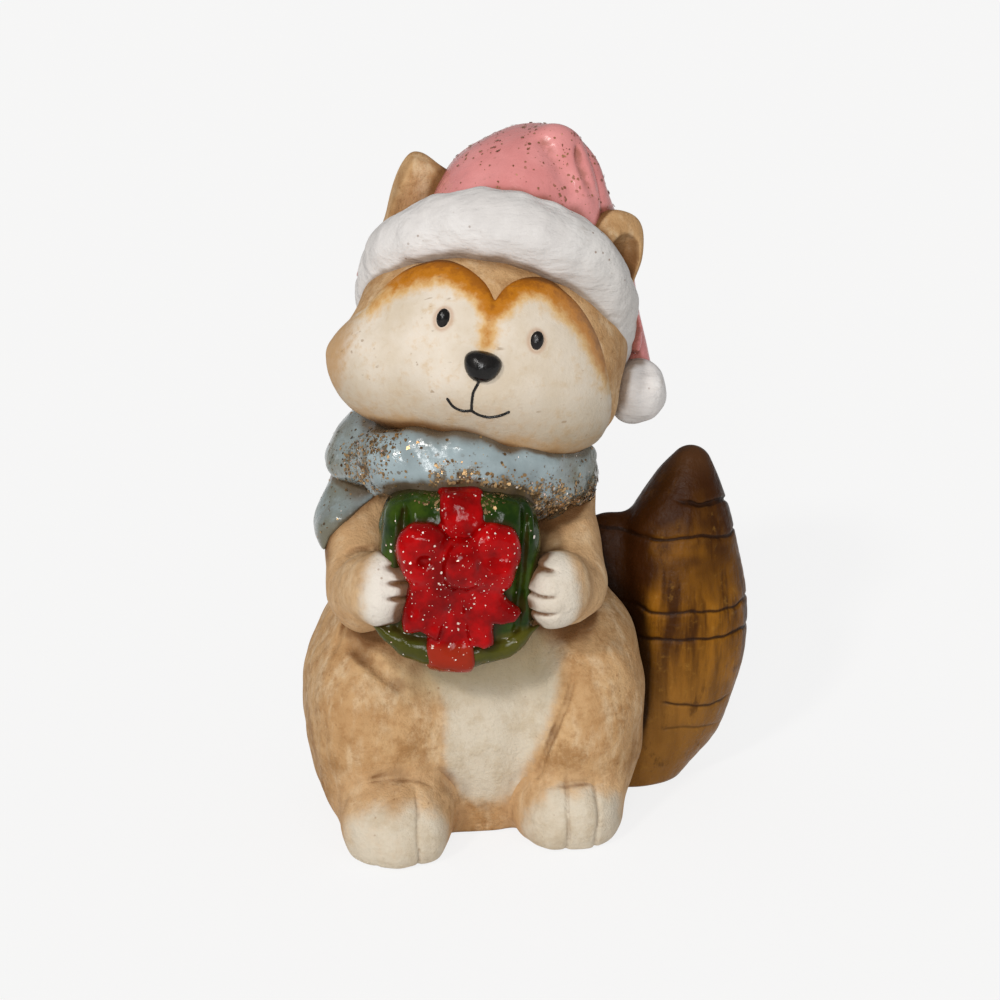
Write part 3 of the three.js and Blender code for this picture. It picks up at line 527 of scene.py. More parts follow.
def drape(p):
    """The scarf's end, lying over the right shoulder and sleeve."""
    under = melt(torso(p), sleeve(p, RIGHT), 5)
    x, y, z = p.T
    front = np.interp(z, *np.transpose(DRAPE_FRONT))
    thick = 0.5 + 2.0 * smooth(0, 6, front - x) * (1 - 0.7 * smooth(76, 86, z))
    d = carve(under - thick, 0.75 * (x - front), 1.4)
    d = carve(carve(d, DRAPE_LOW - z, 2), z - DRAPE_HIGH, 2)
    d = carve(d, y - DRAPE_BACK, 3)
    return np.maximum(d, -(under + 1.0)) + lumpy(p, 12, 0.3, 23)


# Gift, ribbon and bow
GIFT = Place((-6, -36.58, 71), y=2.4)
BOW = Place((0, -11.2, 7.6), base=GIFT)
LOOP = {RIGHT: Place((-8.6, 0, 1.2), y=-8, base=BOW), LEFT: Place((6.9, 0, 0.4), y=6, base=BOW)}
LIP = [(-18.6, -7, -10.2), (-12, -8, -14), (-4, -8.6, -16), (4, -8.6, -16)]
LIP += [(12, -8, -14), (18.4, -7, -9.8)]
LIP_RADII = (0.7, 2.8, 3.2, 3.2, 2.8, 0.7)
GIFT_HALVES = (18.3, 10, 19.9)
GIFT_GROOVES = (-13.4, 13.6)
RIBBON_HALF_WIDTH = 4.8
KNOT_MIDDLE = (-0.2, -2.2, -0.6)
KNOT_HALVES = (4.7, 4.6, 6.0)
# Dents in the bow's loops: middle and half sizes
DENTS = {RIGHT: ((-0.2, -5.4, -0.6), (1.6, 2.4, 1.3)), LEFT: ((1.4, -6.6, 1.4), (3, 3, 4))}


def lip(q):
    """Rolled lower edge of the gift."""
    return strand(q, LIP, LIP_RADII)


def block(q):
    """The gift without its lip and grooves."""
    return lump(q - (0, 0, 0.8), GIFT_HALVES, 4.5)


def box(p):
    q = GIFT.local(p)
    d = block(q)
    front = smooth(-2, -6, q[:, 1]) * smooth(20, 16, np.abs(q[:, 2]))
    for x in GIFT_GROOVES:
        d = d + 2.2 * front * line(q[:, 0] - x - 0.03 * q[:, 2], 1.2)
    return melt(d, lip(q), 0.8) + lumpy(q, 11, 0.3, 31) + lumpy(q, 5, 0.14, 30)


def ribbon(p):
    q = GIFT.local(p)
    x, y, z = q.T
    down = smooth(8, -4, z)
    middle = -0.4 - 1.4 * down
    skin = block(q)
    proud = 1.4 - 0.3 * down + 1.9 * smooth(6, -2, z) * smooth(-15, -9, z)
    band = melt(skin, lip(q), 2) - proud
    band = carve(band, np.abs(x - middle) - RIBBON_HALF_WIDTH - 0.5 * down, 1.6)
    return np.maximum(carve(band, y, 1), -(skin + 1.0))


def knot(p):
    return lump(BOW.local(p) - KNOT_MIDDLE, KNOT_HALVES, 2.3)


def loop(p, side):
    q = LOOP[side].local(p)
    d = lump(q, (6.1, 4.8, 7.7 + 0.4 * side), 2.5)
    middle, halves = DENTS[side]
    return -melt(-d, lump(q - middle, halves), 1.4)


BOW_TAIL = {
    RIGHT: [(-2, 4), (-8, 4), (-11.4, 1.6), (-12.9, -4.5), (-12.6, -9.4), (-10.6, -9.9), (-8.8, -9.2),
            (-5.0, -11), (-3.4, -6), (-1, -1)],
    LEFT: [(1, 4), (7, 3), (10.2, -1.2), (13.4, -4.6), (12.5, -6.8), (8, -7.4), (8, -12.4), (5.8, -13.4),
           (2.6, -12.8), (0.6, -4)],
}
tail_edge = {side: Outline(np.array(edge, float), (-20, -20), (20, 12))
             for side, edge in BOW_TAIL.items()}


def bow_tail(p, side):
    q = GIFT.local(p)
    edge = tail_edge[side](q[:, 0], q[:, 2])
    front = -12.4 - 0.16 * np.minimum(-edge, 4.0)
    middle, half = 0.5 * (front - 8), 0.5 * (-front - 5)
    return carve(edge, np.abs(q[:, 1] - middle) - half, 1.8)


TIED = {"gift_ribbon": ribbon, "bow_knot": knot, **paired("bow_loop", loop), **paired("bow_tail", bow_tail)}
# How softly each piece of the bow runs into the two loops
BOW_BLENDS = {"bow_knot": 1.6, "bow_tail_right": 1.2, "bow_tail_left": 1.2, "gift_ribbon": 1.2}


def tied(p, name):
    """One piece's share of the bow, pressed together out of soft clay."""
    d = {key: shape(p) for key, shape in TIED.items()}
    skin = melt(d["bow_loop_right"], d["bow_loop_left"], 1)
    for key, soft in BOW_BLENDS.items():
        skin = melt(skin, d[key], soft)
    return portion(skin + lumpy(p, 8, 0.25, 33) + lumpy(p, 4, 0.1, 34), d, name, 1.2)


# Tail and the web of clay that joins it to the torso
TAIL = [(39, 9, 6), (46.8, 9, 20), (51.5, 9, 40), (51.4, 9, 60), (52.7, 9, 73), (54.2, 9, 81.6)]
TAIL_RADII = (14.4, 17.4, 17.8, 15.2, 9.9, 5.2)
TAIL_MIDDLE = (0, 9, 0)
TAIL_FLAT = 17.6 / 15
# Rings: height, tilt and depth; the first is cut on the outer side only, the last two in front
RINGS = [(74.5, -0.1, 1.8), (66.3, -0.04, 1.2), (48.3, -0.03, 0.9), (41.2, -0.04, 1.0)]
RINGS += [(24, -0.12, 0.8), (17.4, -0.13, 0.6)]


def tail_rings(p):
    """How close each point of the tail lies to an incised ring."""
    x, y, z = p.T
    rings = np.zeros(len(p))
    for height, tilt, depth in RINGS:
        part = 1.0
        if height == RINGS[0][0]:
            part = smooth(48, 54, x)
        if height <= RINGS[-2][0]:
            part = smooth(6, -1, y) * smooth(44, 48, x)
        uneven = lumpy(p, 20, 0.6, int(height)) + lumpy(p, 5, 0.2, int(height) + 1)
        level = z - height - tilt * (x - 52) + uneven
        rings = np.maximum(rings, part * depth * line(level, 0.5))
    return rings


def tail(p):
    q = (p - TAIL_MIDDLE) * (1, TAIL_FLAT, 1) + TAIL_MIDDLE
    plume = strand(q, TAIL, TAIL_RADII)
    d = plume + 0.6 * tail_rings(p) * smooth(2.5, 0.0, np.abs(plume)) + lumpy(p, 20, 0.3, 41)
    web = lump(p - (34.4, 9, 45), (15, 7, 25))
    return carve(melt(d, web, 4), -p[:, 2], 1.2)


# Every piece of clay: its shape, its paint slot and its sampling step
PIECES = {
    "head_shell": (head, "tan_clay", 1.0),
    "face_mask": (mask, "cream_paint", 0.8),
    "nose": (nose, "black_gloss", 0.5),
    "eye_right": (partial(eye, side=RIGHT), "black_gloss", 0.4),
    "eye_left": (partial(eye, side=LEFT), "black_gloss", 0.4),
    "ear_right": (partial(ear, side=RIGHT), "tan_clay", 0.9),
    "ear_left": (partial(ear, side=LEFT), "tan_clay", 0.9),
    "hat_brim": (brim, "white_paint", 1.0),
    "hat_crown": (crown, "pink_gloss", 1.0),
    "hat_tip": (tip, "pink_gloss", 1.0),
    "hat_pompom": (pompom, "white_paint", 0.9),
    "scarf_wrap": (wrap, "blue_gloss", 1.0),
    "scarf_lap": (lap, "blue_gloss", 1.0),
    "scarf_drape": (drape, "blue_gloss", 1.0),
    "gift_box": (box, "green_gloss", 1.0),
    "tail": (tail, "brown_stain", 0.8),
}
for name in LIMBS:
    PIECES[name] = (partial(clay, name=name), "tan_clay", 1.0)
for name in TIED:
    PIECES[name] = (partial(tied, name=name), "red_gloss", 0.8)


# From shape to mesh
BLOCK, PART = 16, 4
NEAR = 1.1
FAR = 5.0


def surface(field, low, high, step):
    """Quads of a shape's surface, sampled finely only where the surface may pass."""
    low = np.asarray(low, float)
    counts = np.ceil((np.asarray(high) - low) / step / BLOCK).astype(int) + 1
    blocks = lattice(*counts) * BLOCK
    middle = field(low + (blocks + 0.5 * (BLOCK - 1)) * step)
    far = np.where(middle < 0, -FAR, FAR).reshape(counts).astype(np.float32)
    values = far.repeat(BLOCK, 0).repeat(BLOCK, 1).repeat(BLOCK, 2)
    cells = lattice(PART, PART, PART)
    near = blocks[np.abs(middle) < NEAR * BLOCK * step]
    parts = (near[:, None] + lattice(*[BLOCK // PART] * 3) * PART).reshape(-1, 3)
    middle = field(low + (parts + 0.5 * (PART - 1)) * step)
    at = (parts[:, None] + cells).reshape(-1, 3)
    values[tuple(at.T)] = np.where(middle < 0, -FAR, FAR).repeat(len(cells))
    near = parts[np.abs(middle) < NEAR * PART * step + 0.3]
    at = (near[:, None] + cells).reshape(-1, 3)
    for some in np.array_split(at, max(1, len(at) // (10 * CHUNK))):
        values[tuple(some.T)] = field(low + some * step)
    grid = openvdb.FloatGrid(FAR)
    grid.copyFromArray(values)
    points, quads = grid.convertToQuads(0.0)
    return low + points * step, quads


def normals(points, quads):
    a, b, c, d = (points[quads[:, k]] for k in range(4))
    face = np.cross(c - a, d - b)
    total = np.zeros_like(points)
    for axis in range(3):
        for corner in range(4):
            total[:, axis] += np.bincount(quads[:, corner], face[:, axis], len(points))
    return total / (np.linalg.norm(total, axis=1)[:, None] + 1e-9)


def extent(node, spare=6.0):
    low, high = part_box(node)
    return np.array(low) / MM - AXIS - spare, np.array(high) / MM - AXIS + spare


# Room around the clay: distance to the whole figure on a coarse grid
ROOM_STEP, ROOM_SPARE, NEAR_PIECE, FLOOR_DROP = 1.6, 14.0, 11.0, 6.0


def around(names, spare):
    lows, highs = zip(*(extent(name, spare) for name in names))
    return np.min(lows, axis=0), np.max(highs, axis=0)


ROOM_LOW, ROOM_HIGH = around(PIECES, ROOM_SPARE)


def fill_room():
    counts = np.ceil((ROOM_HIGH - ROOM_LOW) / ROOM_STEP).astype(int) + 1
    points = ROOM_LOW + lattice(*counts) * ROOM_STEP
    best = np.maximum(points[:, 2], 0.0) + FLOOR_DROP
    shapes = [(PIECES[name][0], *extent(name, NEAR_PIECE)) for name in PIECES if name not in LIMBS]
    for shape, low, high in shapes + [(flesh, *around(LIMBS, NEAR_PIECE))]:
        close = np.flatnonzero(((points > low) & (points < high)).all(1))
        best[close] = np.minimum(best[close], shape(points[close]))
    return best.reshape(counts)


ROOM = fill_room()


def room(points):
    return sample(ROOM, (points - ROOM_LOW) / ROOM_STEP)


def hollows(points, normal):
    """How deep in a crease each point lies, from 0 in the open to 1."""
    shade = np.zeros(len(points))
    for out, share in ((1.5, 0.35), (3.0, 0.3), (5.5, 0.2), (9.0, 0.15)):
        shade += share * (1 - np.clip(room(points + normal * out) / out, 0, 1))
    return shade


# Painted zones, given per point of a piece
def belly_patch(p):
    """Cream on the belly, wider at the top; it fades under the gift, partly as painted shade there."""
    x, y, z = p.T
    right = -11 + 0.55 * np.maximum(0, 20 - z) - 0.35 * np.maximum(0, z - 36)
    left = 20.0 - 0.33 * np.maximum(0, 42 - z) + 0.3 * np.maximum(0, z - 42)
    across = smooth(-0.5, 4.5, x - right) * smooth(-0.5, 4.5, left - x)
    top = 1 - 0.6 * smooth(40, 52, z)
    return across * top * smooth(4, 16, z) * smooth(-14, -22, y)


def toe_paint(p, side):
    q = FOOT[side].local(p)
    return 0.9 * smooth(-3, -13, q[:, 1] + 0.5 * q[:, 2] + lumpy(q, 8, 0.9, 64))


def paw_paint(p, side):
    q = PAW[side].local(p)
    reach = -side * q[:, 0] * 0.75 - q[:, 1] * 0.45
    return smooth(-5.5, 1.5, reach) * smooth(15, 10, np.abs(q[:, 2]))


def limb_zones(name, p):
    cream = belly_patch(p)
    pale = np.zeros(len(p))
    stains_and_shade = [stain_and_shade * crease(p, path, 0.7 * width) for path, depth, width, stain_and_shade in CREASES]
    cuts = np.max(stains_and_shade, axis=0)
    for word, side in SIDES.items():
        if name == "foot_" + word:
            cream = toe_paint(p, side)
            pale = 0.05 * cream
            cuts = np.maximum(cuts, 0.42 * toe_lines(p, side, 0.4))
        if name == "arm_" + word:
            cream = paw_paint(p, side)
            pale = cream * (1.0 if side == RIGHT else 0.5)
            cuts = np.maximum(cuts, finger_lines(p, side))
    feet = np.max([smooth(6, -1, foot(p, side)) for side in FOOT], axis=0)
    arms = np.max([smooth(6, -1, arm(p, side)) for side in PAW], axis=0)
    x, z = p[:, 0], p[:, 2]
    low = smooth(48, 8, z) * (1 - smooth(0.2, 0.8, cream)) * (1 - 0.85 * feet)
    # Painted light: feet and arms a lighter tan
    sun = 0.3 * np.maximum(feet, arms)
    # Painted shadow of the gift on the belly; limited only in height and across, so it also falls on the
    # back
    dim = smooth(34, 45, z) * smooth(62, 56, z) * smooth(-24, -12, x) * smooth(22, 12, x)
    return {"cream": cream, "pale": pale, "cut": cuts, "low": low, "sun": sun, "dim": dim}


def face_zones(p):
    q = HEAD.local(p)
    x, z = q[:, 0], q[:, 2]
    edge = -mask_edge(x, z)
    upper = smooth(-10, 4, z)
    bridge = line(x + 1.2, 2.4) * smooth(-4.5, 0, z) * 0.6
    fade = np.where(x < 0, smooth(-33, -20, x), 1.0)
    rim = smooth(9.0 - 4.6 * smooth(12, -4, z), 0.3, edge)
    lids = [line(lump(q - EYES[side], EYE_HALVES) - 0.5, 0.45) for side in EYES]
    tip_right = smooth(27, 36, -x)
    tip_left = 0.7 * smooth(28, 33, x)
    chin = z - 0.03 * x + lumpy(q, 12, 0.8, 62)
    # Tan at the jaw; its upper, weaker part is painted shade under the chin
    jaw = 0.3 * smooth(-8, -18, chin) + 0.7 * smooth(-18, -23.5, chin)
    return {
        "amber": np.maximum(rim * upper * (0.3 + 0.7 * fade), bridge),
        "tan": np.maximum.reduce([tip_right, tip_left, jaw]),
        # Brown at the bottom of the jaw: a brown wash line, and painted shade under the jaw
        "brown": smooth(-20.6, -24, chin),
        "lid": np.max(lids, axis=0),
        "shade": 0.5 * smooth(-5, -20, chin) + 0.3 * smooth(4, 26, x),
    }


def on_scarf(p):
    """Where the scarf's glitter lies thick."""
    q = SCARF.local(p)
    x, y, z = q.T
    low = 3.6 - 0.24 * np.maximum(x - 4, 0)
    edge = line(z - low, 2.8) * smooth(0, -12, y) * smooth(-10, -2, x)
    below = smooth(-1, -5, z) * smooth(10, 18, x) * smooth(4, -8, y)
    tongue = np.exp(-((q - (-26, -21, -1)) ** 2).sum(1) / 40)
    patch = np.exp(-((q - (-19, -27, 8)) ** 2).sum(1) / 30)
    clusters = 0.25 + smooth(-0.3, 0.9, lumpy(q, 4.5, 1.0, 61))
    front = smooth(12, -4, y)
    return clusters * (0.02 * front + 1.7 * edge + 0.7 * below + 1.6 * tongue + 0.6 * patch)


def seams(name, p):
    """Darker along the edges where one layer of the scarf lies on another: grime there, and painted shade.
    """
    if name == "scarf_wrap":
        return smooth(2.4, 0.2, lap(p))
    if name == "scarf_lap":
        return 0.9 * smooth(2.0, 0.2, wrap(p))
    return 0.9 * smooth(2.2, 0.2, np.minimum(wrap(p), lap(p)))


def zones(name, p, n):
    # Painted shade: the deeper a point lies in a crease or hollow, the darker it is painted, partly
    # standing for a brown wash in the recesses
    out = {"shade_and_wash": hollows(p, n)}
    if name in LIMBS:
        out.update(limb_zones(name, p))
        # Less painted crease shade on the feet and arms
        out["shade_and_wash"] *= 1 - 0.85 * out["sun"]
    if name == "face_mask":
        out.update(face_zones(p))
        out["shade_and_wash"] *= 0.7 * smooth(6, 10, np.linalg.norm(HEAD.local(p) - NOSE, axis=1))
    if name == "head_shell":
        out["shade_and_wash"] *= 0.3 + 0.5 * smooth(-8, -18, HEAD.local(p)[:, 2])
    if name == "ear_left":
        # More painted shade in the hollow of the left ear
        out["shade_and_wash"] += 0.12 * smooth(0.8, -0.4, scoop(EAR[LEFT].local(p)))
    if name.startswith("scarf"):
        out["grime"] = np.minimum(on_scarf(p), 1.0)
        out["seam"] = seams(name, p)
        across = SCARF.local(p)[:, 0]
        # Painted shade with grime on both sides of the scarf, where it turns away from the front
        out["darker"] = np.maximum(smooth(16, 28, across), smooth(-20, -30, across))
    if name == "hat_brim":
        # Painted shade and some grime toward the brim's side away from the key light
        out["darker"] = smooth(2, 26, HEAD.local(p)[:, 0])
    if name == "hat_crown":
        q = HEAD.local(p)
        # Painted shade in the crown's fold grooves
        out["cut"] = np.maximum(0.85 * groove(q, PUCKER, 1.7), groove(q, VALLEY, 1.4))
    if name == "gift_ribbon":
        out["worn"] = smooth(-11, -15, GIFT.local(p)[:, 2])
    if name == "gift_box":
        out["olive"] = smooth(1.5, 0.0, lip(GIFT.local(p)))
    if name == "tail":
        out["ring"] = np.minimum(tail_rings(p), 1.0)
        x, z = p[:, 0], p[:, 2]
        inner = smooth(48, 38, x - 0.1 * (z - 50)) * smooth(18, 40, z)
        out["dark"] = np.maximum(smooth(50, 74, z), inner)
        out["low"] = smooth(46, 12, z)
        # A lighter tip: painted reflection
        out["tip"] = 0.5 * smooth(78, 85, z)
    return out


def mesh_of(name, points, quads, values):
    row = (points + AXIS) * MM
    mesh = bpy.data.meshes.new(name)
    mesh.vertices.add(len(row))
    mesh.vertices.foreach_set("co", row.astype(np.float32).ravel())
    mesh.loops.add(quads.size)
    mesh.loops.foreach_set("vertex_index", quads.astype(np.int32).ravel())
    sides = quads.shape[1]
    mesh.polygons.add(len(quads))
    mesh.polygons.foreach_set("loop_start", np.arange(0, quads.size, sides, dtype=np.int32))
    mesh.update()
    mesh.validate()
    mesh.shade_smooth()
    for key, value in values.items():
        layer = mesh.attributes.new(key, "FLOAT", "POINT")
        layer.data.foreach_set("value", np.asarray(value, np.float32))
    thing = bpy.data.objects.new(name, mesh)
    bpy.context.scene.collection.objects.link(thing)
    return thing


# Paints
class Paint:
    """A procedural paint, laid on coat by coat."""

    def __init__(self, name, **finish):
        self.material = bpy.data.materials.new(name)
        self.material.use_nodes = True
        self.nodes = self.material.node_tree.nodes
        self.links = self.material.node_tree.links
        self.shader = self.nodes["Principled BSDF"]
        self.fill(self.shader, finish)
        self.at = self.add("TexCoord").outputs["Object"]
        self.color = self.relief = None

    def put(self, socket, value):
        """Set or link a socket; a word stands for the zone of that name."""
        if isinstance(value, str):
            value = self.zone(value)
        if isinstance(value, bpy.types.NodeSocket):
            self.links.new(value, socket)
        elif isinstance(value, tuple) and len(value) == 3 and socket.type == "RGBA":
            socket.default_value = (*value, 1.0)
        else:
            socket.default_value = value

    def fill(self, node, inputs):
        for key, value in inputs.items():
            self.put(node.inputs[key.replace("_", " ")], value)

    def add(self, kind, **inputs):
        node = self.nodes.new("ShaderNode" + kind)
        self.fill(node, inputs)
        return node

    def zone(self, name):
        node = self.add("Attribute")
        node.attribute_name = name
        return node.outputs["Fac"]

    def noise(self, scale, detail, roughness=0.55, stretch=None):
        at = self.at
        if stretch:
            at = self.add("Mapping", Vector=at, Scale=stretch).outputs["Vector"]
        node = self.add("TexNoise", Vector=at, Scale=scale, Detail=detail, Roughness=roughness)
        return node.outputs["Fac"]

    def cells(self, scale):
        return self.add("TexVoronoi", Vector=self.at, Scale=scale).outputs["Distance"]

    def span(self, value, low, high, to_low=0.0, to_high=1.0):
        node = self.add("MapRange", Value=value, From_Min=low, From_Max=high, To_Min=to_low, To_Max=to_high)
        node.interpolation_type = "SMOOTHSTEP"
        return node.outputs["Result"]

    def math(self, operation, a, b):
        node = self.add("Math")
        node.operation = operation
        self.put(node.inputs[0], a)
        self.put(node.inputs[1], b)
        return node.outputs[0]

    def times(self, a, b):
        return self.math("MULTIPLY", a, b)

    def plus(self, a, b):
        return self.math("ADD", a, b)

    def mix(self, share, a, b):
        node = self.add("Mix")
        node.data_type = "RGBA"
        self.put(node.inputs["Factor"], share)
        self.put(node.inputs[6], a)
        self.put(node.inputs[7], b)
        return node.outputs[2]

    def base(self, mask, low, high, dark, light):
        self.color = self.mix(self.span(mask, low, high), dark, light)

    def coat(self, tint, mask, low=None, high=None, most=1.0):
        """Lay a tint over the color, as much as the mask says."""
        share = mask if low is None else self.span(mask, low, high, 0, most)
        self.color = self.mix(share, self.color, tint)

    def ragged(self, scale, grain):
        """Cells with uneven edges."""
        return self.plus(self.cells(scale), self.span(self.noise(grain, 2), 0.3, 0.7, -0.14, 0.14))

    def specks(self, cells, near, far, most, where, low, high):
        """Spots at the middle of cells, in patches."""
        return self.times(self.span(cells, near, far, most, 0), self.span(where, low, high))

    def bump(self, height, distance, strength):
        node = self.add("Bump", Strength=strength, Distance=distance, Height=height)
        if self.relief:
            self.links.new(self.relief, node.inputs["Normal"])
        self.relief = node.outputs["Normal"]

    def done(self, grain, smoothest, roughest):
        rough = self.span(grain, 0.3, 0.7, smoothest, roughest)
        self.fill(self.shader, {"Base Color": self.color, "Roughness": rough, "Normal": self.relief})
        return self.material


# Brown for creases and hollows: a brown wash, and painted shade there
BROWN_WASH_AND_SHADE = (0.17, 0.07, 0.02)
# Dark for the scarf: grime, and painted shade in its creases and where its layers meet
GRIME_AND_SHADE = (0.10, 0.06, 0.025)


def tan_clay():
    paint = Paint("tan_clay", Specular_IOR_Level=0.16)
    broad = paint.noise(55, 4, 0.6)
    fine = paint.noise(420, 5, 0.65)
    brush = paint.noise(190, 4, 0.65, (1.0, 1.0, 0.35))
    mottle = paint.noise(130, 6, 0.72)
    paint.base(broad, 0.32, 0.68, (0.50, 0.285, 0.125), (0.64, 0.41, 0.205))
    paint.coat((0.74, 0.565, 0.36), brush, 0.46, 0.7, 0.65)
    paint.coat((0.38, 0.2, 0.078), mottle, 0.5, 0.66, 0.7)
    paint.coat((0.38, 0.19, 0.07), fine, 0.44, 0.7, 0.55)
    low = paint.times("low", paint.span(mottle, 0.35, 0.65, 0.25, 1.0))
    paint.coat((0.34, 0.175, 0.062), low, 0.1, 0.9, 0.8)
    # Painted light on the feet and arms
    paint.coat((0.76, 0.52, 0.3), "sun")
    edge = paint.plus("cream", paint.span(broad, 0.25, 0.75, -0.16, 0.16))
    edge = paint.plus(edge, paint.span(fine, 0.2, 0.8, -0.14, 0.14))
    cream = paint.mix(paint.span(mottle, 0.42, 0.68, 0, 0.6), (0.68, 0.6, 0.475), (0.5, 0.39, 0.25))
    cream = paint.mix("pale", cream, (0.80, 0.74, 0.66))
    paint.coat(cream, edge, 0.1, 0.95)
    # Painted shadow of the gift on the belly
    paint.coat((0.36, 0.285, 0.165), paint.times("dim", 0.8))
    # Painted shade in creases and hollows, partly a brown wash
    shade_and_wash = paint.times("shade_and_wash", paint.span(broad, 0.3, 0.7, 0.9, 1.5))
    paint.coat(BROWN_WASH_AND_SHADE, shade_and_wash, 0.14, 0.62, 0.92)
    specks = paint.specks(paint.cells(330), 0.05, 0.13, 0.55, paint.noise(120, 2), 0.5, 0.62)
    paint.coat((0.25, 0.11, 0.035), specks)
    # Dark in the cut lines: stains, and along the fold line painted shade
    cuts = paint.times("cut", paint.span(mottle, 0.35, 0.6, 0.6, 1.1))
    paint.coat((0.15, 0.065, 0.02), cuts, 0.2, 1.0, 0.85)
    paint.bump(paint.noise(1500, 3, 0.6), 0.00024, 0.7)
    paint.bump(fine, 0.0008, 0.6)
    paint.bump(mottle, 0.0012, 0.5)
    return paint.done(fine, 0.55, 0.75)


def cream_paint():
    paint = Paint("cream_paint", Specular_IOR_Level=0.18)
    broad = paint.noise(70, 4, 0.6)
    fine = paint.noise(450, 5, 0.65)
    paint.base(broad, 0.3, 0.7, (0.68, 0.575, 0.44), (0.80, 0.715, 0.61))
    paint.coat((0.58, 0.43, 0.26), fine, 0.5, 0.78, 0.4)
    uneven = paint.span(fine, 0.25, 0.75, -0.14, 0.14)
    patchy = paint.span(broad, 0.3, 0.7, -0.18, 0.14)
    amber = paint.plus(paint.plus("amber", uneven), patchy)
    paint.coat((0.72, 0.44, 0.16), amber, 0.02, 0.55, 0.9)
    paint.coat((0.50, 0.175, 0.006), amber, 0.36, 0.85)
    paint.coat((0.27, 0.08, 0.004), amber, 0.85, 1.1, 0.7)
    paint.coat((0.52, 0.29, 0.17), paint.times("lid", 0.55))
    shade = paint.times("shade", paint.span(broad, 0.3, 0.7, 0.7, 1.2))
    paint.coat((0.43, 0.36, 0.255), shade)
    paint.coat((0.52, 0.31, 0.14), paint.plus("tan", uneven), 0.05, 1.0, 0.9)
    brown = paint.plus(paint.plus("brown", uneven), patchy)
    paint.coat((0.25, 0.125, 0.045), brown, 0.1, 0.9, 0.6)
    # Painted shade in creases and hollows, partly a brown wash
    paint.coat(BROWN_WASH_AND_SHADE, "shade_and_wash", 0.2, 0.7, 0.85)
    scratch = paint.span(paint.noise(760, 2, 0.5, (0.2, 1.0, 1.0)), 0.66, 0.72, 0, 0.6)
    paint.coat((0.30, 0.19, 0.1), paint.times(scratch, paint.span(broad, 0.48, 0.6)))
    paint.bump(paint.noise(1500, 3, 0.6), 0.00014, 0.6)
    paint.bump(fine, 0.00045, 0.5)
    return paint.done(fine, 0.5, 0.68)


def white_paint():
    paint = Paint("white_paint", Specular_IOR_Level=0.2)
    broad = paint.noise(80, 4, 0.6)
    fine = paint.noise(380, 5, 0.65)
    brush = paint.noise(330, 3, 0.6, (0.3, 1.0, 1.0))
    paint.base(broad, 0.35, 0.7, (0.68, 0.65, 0.63), (0.80, 0.775, 0.755))
    # Painted shade in creases and hollows, partly a brown wash
    paint.coat((0.30, 0.21, 0.14), "shade_and_wash", 0.18, 0.7, 0.8)
    # Painted shade on the brim's side away from the key light
    paint.coat((0.44, 0.42, 0.38), "darker", 0.0, 1.0, 0.3)
    dirt = paint.times(paint.span(brush, 0.56, 0.7), paint.span(broad, 0.45, 0.62, 0, 0.3))
    paint.coat((0.45, 0.38, 0.32), dirt)
    pits = paint.specks(paint.cells(340), 0.06, 0.14, 0.8, paint.noise(80, 2), 0.48, 0.58)
    paint.coat((0.24, 0.15, 0.1), pits)
    paint.bump(paint.noise(130, 3, 0.5), 0.0014, 0.5)
    paint.bump(brush, 0.0011, 0.65)
    paint.bump(fine, 0.0005, 0.6)
    return paint.done(fine, 0.42, 0.6)


def pink_gloss():
    paint = Paint("pink_gloss", Specular_IOR_Level=0.45)
    broad = paint.noise(60, 3)
    fine = paint.noise(500, 4, 0.6)
    paint.base(broad, 0.3, 0.7, (0.66, 0.225, 0.215), (0.80, 0.32, 0.31))
    # Painted shade in creases and hollows
    paint.coat((0.30, 0.09, 0.06), "shade_and_wash", 0.14, 0.65, 0.85)
    # Painted shade in the crown's fold grooves
    cuts = paint.times("cut", paint.span(fine, 0.35, 0.6, 0.4, 1.0))
    paint.coat((0.36, 0.13, 0.09), cuts, 0.15, 1.0, 0.75)
    specks = paint.specks(paint.ragged(620, 1400), 0.14, 0.24, 0.9, paint.noise(110, 3), 0.5, 0.62)
    paint.coat((0.30, 0.12, 0.06), specks)
    paint.bump(paint.noise(170, 3), 0.0011, 0.5)
    paint.bump(fine, 0.0002, 0.5)
    return paint.done(fine, 0.2, 0.34)


def blue_gloss():
    paint = Paint("blue_gloss", Specular_IOR_Level=0.5)
    broad = paint.noise(75, 3)
    fine = paint.noise(480, 4, 0.6)
    paint.base(broad, 0.3, 0.7, (0.215, 0.26, 0.27), (0.345, 0.43, 0.455))
    # Painted shade in the scarf's creases and hollows
    paint.coat(GRIME_AND_SHADE, "shade_and_wash", 0.12, 0.55, 0.9)
    grime = paint.times("grime", paint.span(paint.noise(260, 5, 0.7), 0.4, 0.62))
    paint.coat((0.11, 0.075, 0.035), grime, 0.03, 0.5, 0.9)
    cloudy = paint.span(paint.noise(170, 4, 0.65), 0.35, 0.65, 0.35, 0.9)
    # Painted shade with grime on the scarf's sides
    paint.coat((0.15, 0.145, 0.1), paint.times("darker", cloudy))
    # Darker where one scarf layer meets another: grime, and painted shade
    seam = paint.times("seam", paint.span(fine, 0.3, 0.6, 0.5, 1.0))
    paint.coat(GRIME_AND_SHADE, seam, 0.1, 0.9, 0.85)
    specks = paint.specks(paint.ragged(560, 1300), 0.1, 0.22, 0.85, paint.noise(120, 3), 0.42, 0.54)
    paint.coat((0.12, 0.085, 0.05), specks)
    paint.bump(paint.noise(150, 3), 0.0014, 0.5)
    paint.bump(fine, 0.0002, 0.5)
    return paint.done(fine, 0.16, 0.3)


